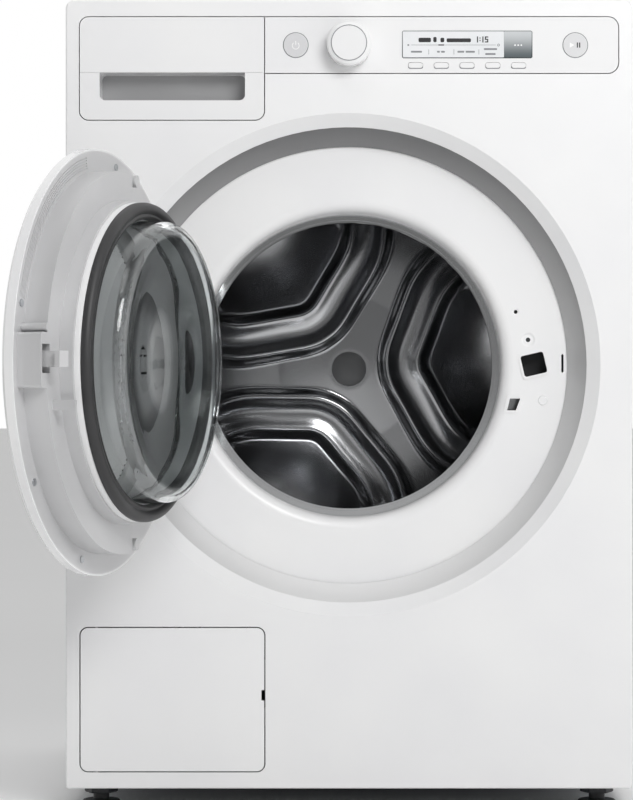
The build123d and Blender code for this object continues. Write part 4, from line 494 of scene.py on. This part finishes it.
def buildDrumBack():
    # A round sheet, pressed forward vertex by vertex by its distance from the nearest ridge.
    points = spinePoints()
    tree = KDTree(len(points))
    for i, p in enumerate(points):
        tree.insert((p.x, p.y, 0), i)
    tree.balance()
    bm = bmesh.new()
    centre = Vector((0, frontY + drum["backDepth"], drumHeight))
    nearCentre = 0.01  # the first points, merged into one after the spin
    start = [bm.verts.new(centre + Vector((nearCentre + drum["radius"] * i / drum["rings"], 0, 0)))
             for i in range(drum["rings"] + 1)]
    edges = [bm.edges.new(pair) for pair in zip(start, start[1:])]
    bmesh.ops.spin(bm, geom=start + edges, cent=centre, axis=(0, 1, 0), angle=math.tau,
                   steps=drum["spokes"], use_merge=True)
    bmesh.ops.remove_doubles(bm, verts=bm.verts, dist=0.2)
    for vert in bm.verts:
        x, z = vert.co.x, vert.co.z - drumHeight
        radius = math.hypot(x, z)
        inside = drum["radius"] - radius
        distance = tree.find((x, z, 0))[2]
        rise = ridgeHeight(distance) * smooth(inside / drum["ridgeFade"])
        # each field is a shallow dish that fades out at the ridges and the rim
        field = smooth((distance - drum["crest"]) / (drum["ridgeHalf"] - drum["crest"]))
        rise += (drum["fieldRise"] - dishDepth((x, z))) * field * smooth(inside / drum["fieldFade"])
        cone = (drum["coneFoot"] - radius) / (drum["coneFoot"] - drum["coneTop"])
        rise += drum["coneRise"] * min(max(cone, 0), 1) * field
        vert.co.y -= rise
    bmesh.ops.recalc_face_normals(bm, faces=bm.faces)
    middle = min(bm.faces, key=lambda f: (f.calc_center_median() - centre).length)
    if middle.normal.y > 0:
        bmesh.ops.reverse_faces(bm, faces=bm.faces)
    # the sheet's thickness, away from the laundry
    bmesh.ops.solidify(bm, geom=list(bm.faces), thickness=drum["sheet"])
    return bm


drumBack = pieceFrom(buildDrumBack(), "drum_back_pressing", "drumStainless", "drum", 60)
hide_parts("drum_back")
pieceFrom(lathe(hubCap, closed=False), "drum_hub_cap", "hubCap", "drum", 40)
print("drum made")

# ---- seal round the door's glass ----

doorSeal = {
    "inner": 140.6,
    "outer": 157.4,
    "plug": 156.7,  # the part of the retainer inside the frame's collar
    "front": 45.2,
    "seat": 50.5,  # the retainer sits on the frame's collar here
    "split": 57,  # rubber from here back
    "crest": 66,
}


def buildDoorSeal():
    # A rounded rubber lip with a groove inside its crest, and the pale ring that holds it.
    inner, outer, crest, split = (doorSeal[key] for key in ("inner", "outer", "crest", "split"))
    plug, front, seat = (doorSeal[key] for key in ("plug", "front", "seat"))
    rubber = [(inner, split), (outer - 0.4, split), (outer, split + 0.6), (outer, crest - 5),
              (outer - 1, crest - 2.2), (outer - 3.4, crest - 0.5), (outer - 6.5, crest),
              (inner + 7, crest - 0.6), (inner + 5.5, crest - 2.4), (inner + 4.4, crest - 2.4),
              (inner + 3, crest - 1.4), (inner + 1.2, crest - 2), (inner, crest - 3.6)]
    retainer = [(inner, front), (plug, front), (plug, seat), (outer, seat + 0.1), (outer, split - 0.8),
                (outer - 0.7, split - 0.1), (inner, split - 0.1)]
    seal = pieceFrom(lathe(rubber), "door_seal_rubber", "epdmRubber", "door", 50, doorTurn)
    ring = pieceFrom(lathe(retainer), "door_seal_retainer", "satinAbs", "door", 50, doorTurn)
    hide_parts("door_seal")
    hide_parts("door_seal")


buildDoorSeal()
print("door seal made")

# ---- controls: rings, symbols and the lit display ----

controls = {
    "height": 803.5,
    "film": 0.12,  # thickness of a print
    "powerX": -55.9,
    "startX": 237.5,
    "ringInner": 12.7,
    "ringOuter": 13.5,
    "faceRadius": 11.9,
    "buttonProud": -0.7,
    "symbolRadius": 3.6,  # the power symbol's arc
    "symbolGap": 38,  # degrees from its top to each end of the arc
    "stemTop": 4.4,
    "stroke": 0.9,
    "playRadius": 3.1,
    "playPlace": -4.2,
    "pausePlaces": (1.6, 4.0),
    "pauseWidth": 1.2,
    "pauseHalf": 2.7,
    "knobFace": -22,
    "knobLine": 18.4,
    "knobStroke": 0.9,
    "softKeys": 5,
    "softKeyFirst": 69.9,
    "softKeyPitch": 27.03,
    "softKeyHeight": 782.3,
    "softKeySize": (15.3, 5.6),
    # how far the painted shadow under each key reaches beside and below it
    "softKeyShadow": (0.2, 0.9),  # the line shows this far beside and below a key
}


def bar(left, right, bottom, top, front, radius=0.0):
    # A thin bar, standing a film's thickness in front of this depth: print, and also the painted
    # shadows under the soft keys.
    return plate(left, right, bottom, top, radius, front - controls["film"], front, 3)


def circleLine(x, z, inner, outer, front, steps=96, start=0.0, sweep=math.tau):
    # A printed ring, or part of one, about (x, z).
    bm = bmesh.new()
    centre = Vector((x, frontY + front, z))
    corners = [(inner, 0), (outer, 0), (outer, -controls["film"]), (inner, -controls["film"])]
    verts = [bm.verts.new(centre + Vector((r * math.cos(start), y, r * math.sin(start))))
             for r, y in corners]
    section = bm.faces.new(verts)
    edges = list(section.edges)
    whole = sweep == math.tau
    if whole:
        bm.faces.remove(section)
    geometry = verts + edges if whole else [section] + edges + verts
    bmesh.ops.spin(bm, geom=geometry, cent=centre, axis=(0, -1, 0), angle=sweep, steps=steps,
                   use_merge=whole)
    bmesh.ops.remove_doubles(bm, verts=bm.verts, dist=0.0005)
    bmesh.ops.recalc_face_normals(bm, faces=bm.faces)
    return bm


def buildPowerSymbol(front):
    c = controls
    half, gap = c["stroke"] / 2, math.radians(c["symbolGap"])
    arc = circleLine(c["powerX"], c["height"] - 0.6, c["symbolRadius"] - half, c["symbolRadius"] + half,
                     front, 32, math.pi / 2 + gap, math.tau - 2 * gap)
    stem = bar(c["powerX"] - half, c["powerX"] + half, c["height"], c["height"] + c["stemTop"],
               front, 0.3)
    pieceFrom(join(arc, stem), "power_symbol", "screenPrintWhite", "power")


def buildStartSymbols(front):
    c = controls
    play = bmesh.new()
    bmesh.ops.create_cone(play, cap_ends=True, segments=3, radius1=c["playRadius"],
                          radius2=c["playRadius"], depth=c["film"])
    for axis in ("X", "Y"):
        bmesh.ops.rotate(play, verts=play.verts, matrix=Matrix.Rotation(math.radians(90), 3, axis))
    bmesh.ops.translate(play, verts=play.verts, vec=(
        c["startX"] + c["playPlace"], frontY + front - c["film"] / 2, c["height"]))
    pieceFrom(play, "start_symbol", "screenPrintWhite", "start")
    pauses = []
    for place in c["pausePlaces"]:
        left = c["startX"] + place
        pauses.append(bar(left, left + c["pauseWidth"], c["height"] - c["pauseHalf"],
                          c["height"] + c["pauseHalf"], front, 0.2))
    pieceFrom(join(*pauses), "pause_symbol", "screenPrintBlackAndShade", "start")


def buildButtons():
    c = controls
    front = c["buttonProud"] - c["film"]
    for x, name in ((c["powerX"], "power"), (c["startX"], "start")):
        ring = circleLine(x, c["height"], c["ringInner"], c["ringOuter"], 0)
        pieceFrom(ring, name + "_outline", "screenPrintGreyAndShadow", "cabinet")
        pale = disc(c["faceRadius"], x, c["height"], front, c["buttonProud"])
        pieceFrom(pale, name + "_face", "screenPrintPale", name)
    buildPowerSymbol(front)
    buildStartSymbols(front)


def buildKnobLine():
    c = controls
    half, justProud = c["knobStroke"] / 2, 0.05
    line = circleLine(0, c["height"], c["knobLine"] - half, c["knobLine"] + half,
                      c["knobFace"] + justProud)
    pieceFrom(line, "knob_line", "screenPrintGreyAndShadow", "knob")


def buildSoftKeyShadows():
    # A grey line under each soft key: a painted shadow, where the proud key shades the fascia.
    c = controls
    wide, high = c["softKeySize"]
    beside, below = c["softKeyShadow"]
    shadows = []
    for count in range(c["softKeys"]):
        x = c["softKeyFirst"] + c["softKeyPitch"] * count
        shadows.append(bar(x - wide / 2 - beside, x + wide / 2 + beside,
                        c["softKeyHeight"] - high / 2 - below, c["softKeyHeight"], 0, 2.2))
    pieceFrom(join(*shadows), "soft_key_painted_shadows", "screenPrintGreyAndShadow", "cabinet")


display = {
    "left": 55.6,
    "right": 192.6,
    "bottom": 789.7,
    "top": 818.8,
    "corner": 2,
    "split": 162.7,  # white screen to its left, slate panel to its right
    "edge": 0.9,
    "panelCorner": 0.8,
    "dotRadius": 0.85,
    "dotPlace": 14.9,  # middle dot, from the split
    "dotPitch": 3.3,
}


def buildDisplay():
    # Three thin layers: the surround, the two panels and what is printed on them.
    d = display
    edge, corner = d["edge"], d["panelCorner"]
    materials["displaySlate"] = screenFade("displaySlate", "5d6568", "cfd2d4", d["bottom"], d["top"])
    materials["displayFrame"] = screenFade("displayFrame", "3c3f42", "8d8f91", d["bottom"], d["top"])
    layer = [-controls["film"] * (count + 1) for count in range(3)]
    surround = plate(d["left"], d["right"], d["bottom"], d["top"], d["corner"], layer[0], 0)
    pieceFrom(surround, "display_surround", "displayFrame", "cabinet")
    low, high, seam = d["bottom"] + edge, d["top"] - edge, 0.2
    lit = plate(d["left"] + edge, d["split"], low, high, corner, layer[1], layer[0])
    pieceFrom(lit, "display_lit", "lcdWhite", "cabinet")
    side = plate(d["split"] + seam, d["right"] - edge, low, high, corner, layer[1], layer[0])
    pieceFrom(side, "display_side", "displaySlate", "cabinet")
    dots = [disc(d["dotRadius"], d["split"] + d["dotPlace"] + d["dotPitch"] * n, controls["height"],
                 layer[2], layer[1], 20) for n in (-1, 0, 1)]
    pieceFrom(join(*dots), "display_dots", "screenPrintWhite", "cabinet")
    return layer[1]


# What the screen shows, as (left, right, bottom, top) of each bar. Blank bars stand for words.
readout = {
    "words": [(73, 86, 806.6, 811.2), (88.5, 92, 806.6, 812), (96, 100, 806.6, 811.2),
              (102.5, 128, 806.6, 810.6)],
    "wordCorner": 1.2,
    "slider": (93.7, 99.9, 803.05, 804.25),
    "sliderLine": [(65.3, 93.4, 803.45, 803.85), (100.2, 154.1, 803.45, 803.85)],
    "sliderStart": (61.4, 63.2, 802.8, 804.4),
    "sliderRing": (157, 803.6, 0.8, 1.4),  # x, z, inner and outer radius
    "sliderCorner": 0.3,
    "separators": (83.5, 109.9, 136.1),
    "separatorSize": (0.5, 793.6, 799),  # width, bottom, top
    "notes": [(65, 76.7, 795.6), (92.4, 95.4, 795.6), (96.6, 100.7, 795.6), (113.8, 121, 795.6),
              (122.4, 132.2, 795.6), (141.5, 155.5, 798.4), (143, 154, 793.2)],
    "noteHeight": 1.9,
    "noteCorner": 0.8,
    "ones": (134.3, 140),  # left edge of each figure one
    "figures": (806.3, 812.6),  # bottom and top of the running time's figures
    "upright": 1.2,  # stroke widths
    "level": 1.1,
    "colon": (137, 138.1, (807.8, 810.4)),
    "five": (142.6, 146.2, (806.3, 809.0, 811.5)),  # its sides and its three level strokes
    "fiveUprights": (807.4, 809.0, 810.1, 811.5),  # right one's ends, then the left one's
}


def timeFigures(front):
    # The running time 1:15, built from strokes.
    r = readout
    upright, level = r["upright"], r["level"]
    strokes = [bar(x, x + upright, *r["figures"], front) for x in r["ones"]]
    colonLeft, colonRight, dots = r["colon"]
    strokes += [bar(colonLeft, colonRight, z, z + level, front) for z in dots]
    left, right, levels = r["five"]
    strokes += [bar(left, right, z, z + level, front) for z in levels]
    rightLow, rightHigh, leftLow, leftHigh = r["fiveUprights"]
    strokes.append(bar(left, left + upright, leftLow, leftHigh, front))
    strokes.append(bar(right - upright, right, rightLow, rightHigh, front))
    return strokes


def buildReadout(front):
    r = readout
    dark = [bar(*word, front, r["wordCorner"]) for word in r["words"]]
    dark.append(bar(*r["slider"], front, r["sliderCorner"]))
    dark += timeFigures(front)
    pieceFrom(join(*dark), "display_figures", "screenPrintBlackAndShade", "cabinet")
    pale = [bar(*line, front) for line in r["sliderLine"]]
    pale.append(circleLine(*r["sliderRing"], front, 24))
    pale.append(bar(*r["sliderStart"], front, r["sliderCorner"]))
    wide, bottom, top = r["separatorSize"]
    pale += [bar(x, x + wide, bottom, top, front) for x in r["separators"]]
    pale += [bar(left, right, low, low + r["noteHeight"], front, r["noteCorner"])
             for left, right, low in r["notes"]]
    pieceFrom(join(*pale), "display_marks", "screenPrintGreyAndShadow", "cabinet")


buildButtons()
buildKnobLine()
buildSoftKeyShadows()
buildReadout(buildDisplay())
print("controls made")

# ---- drawer grip and the rim of the latch's hole ----

grip = {"left": -261.4, "right": -109.6, "bottom": 746.0, "top": 774.4, "corner": 5.6,
        "depth": 27.9, "thickness": 0.4, "edge": 0.15}


def buildGripShade():
    # A thin grey sheet at the back of the drawer's grip recess: painted shade where the recess lies in
    # shadow.
    g = grip
    shadeSheet = plate(g["left"], g["right"], g["bottom"], g["top"], g["corner"],
                  g["depth"] - g["thickness"], g["depth"])
    soften(shadeSheet, g["edge"], 2)
    pieceFrom(shadeSheet, "drawer_grip_painted_shade", "gripPaintedShade", "drawer")


latch = {
    "holeX": 196.6,
    "holeZ": 1.0,  # above the drum's axis
    "holeWidth": 24.7,
    "holeHeight": 22.6,
    "tilt": 13,
    "rim": 1.6,
    "corner": 2.5,
    "plateDepth": 39.5,
    "proud": 0.35,
    "clear": 0.02,  # gap to the plate behind
}


def buildLatch():
    # A thin rim round the hook's hole: a plate with its middle taken out, tilted with the hole.
    k = latch
    turn = Matrix.Rotation(math.radians(-k["tilt"]), 3, "Y")
    centre = Vector((k["holeX"], frontY, drumHeight + k["holeZ"]))
    wide, high = k["holeWidth"] / 2, k["holeHeight"] / 2
    rim = plate(-wide - k["rim"], wide + k["rim"], -high - k["rim"], high + k["rim"], k["corner"],
                k["plateDepth"] - k["proud"], k["plateDepth"] - k["clear"])
    front = min(rim.faces, key=lambda f: f.calc_center_median().y)
    back = max(rim.faces, key=lambda f: f.calc_center_median().y)
    bmesh.ops.inset_region(rim, faces=[front, back], thickness=k["rim"])
    inner = []
    for face in rim.faces:
        middle = face.calc_center_median()
        if abs(face.normal.y) > 0.9 and abs(middle.x) < 0.5 and abs(middle.z) < 0.5:
            inner.append(face)
    bmesh.ops.bridge_loops(rim, edges=[e for f in inner for e in f.edges])
    bmesh.ops.delete(rim, geom=inner, context="FACES_ONLY")
    bmesh.ops.recalc_face_normals(rim, faces=rim.faces)
    bmesh.ops.translate(rim, verts=rim.verts, vec=(0, -frontY, 0))
    bmesh.ops.rotate(rim, verts=rim.verts, matrix=turn)
    bmesh.ops.translate(rim, verts=rim.verts, vec=centre)
    pieceFrom(rim, "latch_hole_rim", "satinAbs", "washing_unit")


buildGripShade()
buildLatch()
print("grip and latch made")

# ---- holes in the drum's wall ----

holes = {
    "wall": 242.9,  # from the axis
    "radius": 2.1,
    "faceShare": 0.8,  # radius of a disc's face to its foot's
    "thickness": 0.25,
    "rows": 9,
    "first": 112,  # depth of the first row
    "pitch": 34,
    "around": 54,
    "lifterTurn": 64.5,
    "lifterCount": 3,
    "skipHalf": 13,  # degrees left plain each side of a lifter
}


def buildDrumHoles():
    # Thin dark discs on the wall stand for its round holes: painted shade for the dark seen through
    # each hole. They are staggered row by row, and left out where the lifters are.
    h = holes
    apart = 360 / h["lifterCount"]
    bm = bmesh.new()
    for row in range(h["rows"]):
        depth = h["first"] + h["pitch"] * row
        for count in range(h["around"]):
            angle = 360 * (count + 0.5 * (row % 2)) / h["around"]
            fromLifter = (angle - h["lifterTurn"] + apart / 2) % apart - apart / 2
            if abs(fromLifter) < h["skipHalf"]:
                continue
            made = bmesh.ops.create_cone(
                bm, cap_ends=True, segments=10, radius1=h["radius"],
                radius2=h["radius"] * h["faceShare"], depth=h["thickness"])["verts"]
            bmesh.ops.rotate(bm, verts=made, matrix=Matrix.Rotation(math.radians(-90), 3, "Y"))
            bmesh.ops.translate(bm, verts=made, vec=(h["wall"], frontY + depth, 0))
            bmesh.ops.rotate(bm, verts=made, matrix=Matrix.Rotation(math.radians(-angle), 3, "Y"))
            bmesh.ops.translate(bm, verts=made, vec=(0, 0, drumHeight))
    bmesh.ops.recalc_face_normals(bm, faces=bm.faces)
    pieceFrom(bm, "drum_wall_hole_shade", "screenPrintBlackAndShade", "drum")


buildDrumHoles()
print("drum holes made")

# ---- stage, light and camera ----


def buildFloor():
    # A plain pale floor, wide enough to reach past every view.
    bm = bmesh.new()
    bmesh.ops.create_grid(bm, x_segments=4, y_segments=4, size=40)
    mesh = bpy.data.meshes.new("floor")
    bm.to_mesh(mesh)
    bm.free()
    floor = bpy.data.objects.new("floor", mesh)
    bpy.context.scene.collection.objects.link(floor)
    material, tree, shader, place = startMaterial("studioFloor")
    patch = addNode(tree, "ShaderNodeTexNoise", {"Vector": place, "Scale": 1.5})
    tone = addNode(tree, "ShaderNodeMix", {
        "Factor": patch.outputs["Fac"], 6: hexColour("fafafa"), 7: hexColour("f8f8f8")},
        data_type="RGBA")
    tree.links.new(tone.outputs[2], shader.inputs["Base Color"])
    shader.inputs["Roughness"].default_value = 0.8
    mesh.materials.append(material)


# how bright the room is in front and behind, and where along Y one turns into the other
room = {"darkUntil": -0.3, "brightFrom": 0.6, "frontLevel": 0.22, "backLevel": 1.0}


def buildWorld():
    # A white backdrop behind the machine, and a dimmer room in front of it for the metal to reflect.
    world = bpy.data.worlds.new("studio")
    bpy.context.scene.world = world
    world.use_nodes = True
    tree = world.node_tree
    tree.nodes.clear()
    direction = addNode(tree, "ShaderNodeTexCoord").outputs["Generated"]
    axes = addNode(tree, "ShaderNodeSeparateXYZ", {0: direction})
    level = addNode(tree, "ShaderNodeMapRange", {
        "Value": axes.outputs["Y"], "From Min": room["darkUntil"], "From Max": room["brightFrom"],
        "To Min": room["frontLevel"], "To Max": room["backLevel"]}, interpolation_type="SMOOTHSTEP")
    light = addNode(tree, "ShaderNodeBackground", {
        "Color": (1, 1, 1, 1), "Strength": level.outputs[0]})
    addNode(tree, "ShaderNodeOutputWorld", {"Surface": light.outputs[0]})


# places and sizes in metres, power in watts
softboxes = {
    "softboxKey": {"place": (0.8, -2.3, 1.75), "aim": (0, -0.3, 0.5), "size": (1.2, 0.9),
                   "power": 31},
    "softboxTop": {"place": (-0.2, -1.5, 2.7), "aim": (0, -0.3, 0.5), "size": (1.6, 1.0),
                   "power": 7},
    "softboxRight": {"place": (2.6, -1.6, 0.7), "aim": (0, -0.1, 0.45), "size": (0.8, 1.6),
                     "power": 5},
}


def buildLights():
    for name, box in softboxes.items():
        lamp = bpy.data.lights.new(name, "AREA")
        lamp.shape = "RECTANGLE"
        lamp.size, lamp.size_y = box["size"]
        lamp.energy = box["power"]
        holder = bpy.data.objects.new(name, lamp)
        bpy.context.scene.collection.objects.link(holder)
        holder.location = box["place"]
        aim = Vector(box["aim"]) - Vector(box["place"])
        holder.rotation_euler = aim.to_track_quat("-Z", "Y").to_euler()


view = {
    "distance": 3.0,  # metres in front of the cabinet
    "height": 0.431,
    "lens": 128.6,
    "shiftX": -0.0406,  # makes room for the open door
}


def buildCamera():
    lens = bpy.data.cameras.new("camera")
    lens.lens = view["lens"]
    lens.shift_x = view["shiftX"]
    camera = bpy.data.objects.new("camera", lens)
    bpy.context.scene.collection.objects.link(camera)
    camera.location = (0, frontY * mm - view["distance"], view["height"])
    camera.rotation_euler = (math.pi / 2, 0, 0)
    bpy.context.scene.camera = camera


buildFloor()
buildWorld()
buildLights()
buildCamera()
bpy.context.scene.view_settings.view_transform = "Standard"
print("stage, light and camera made")
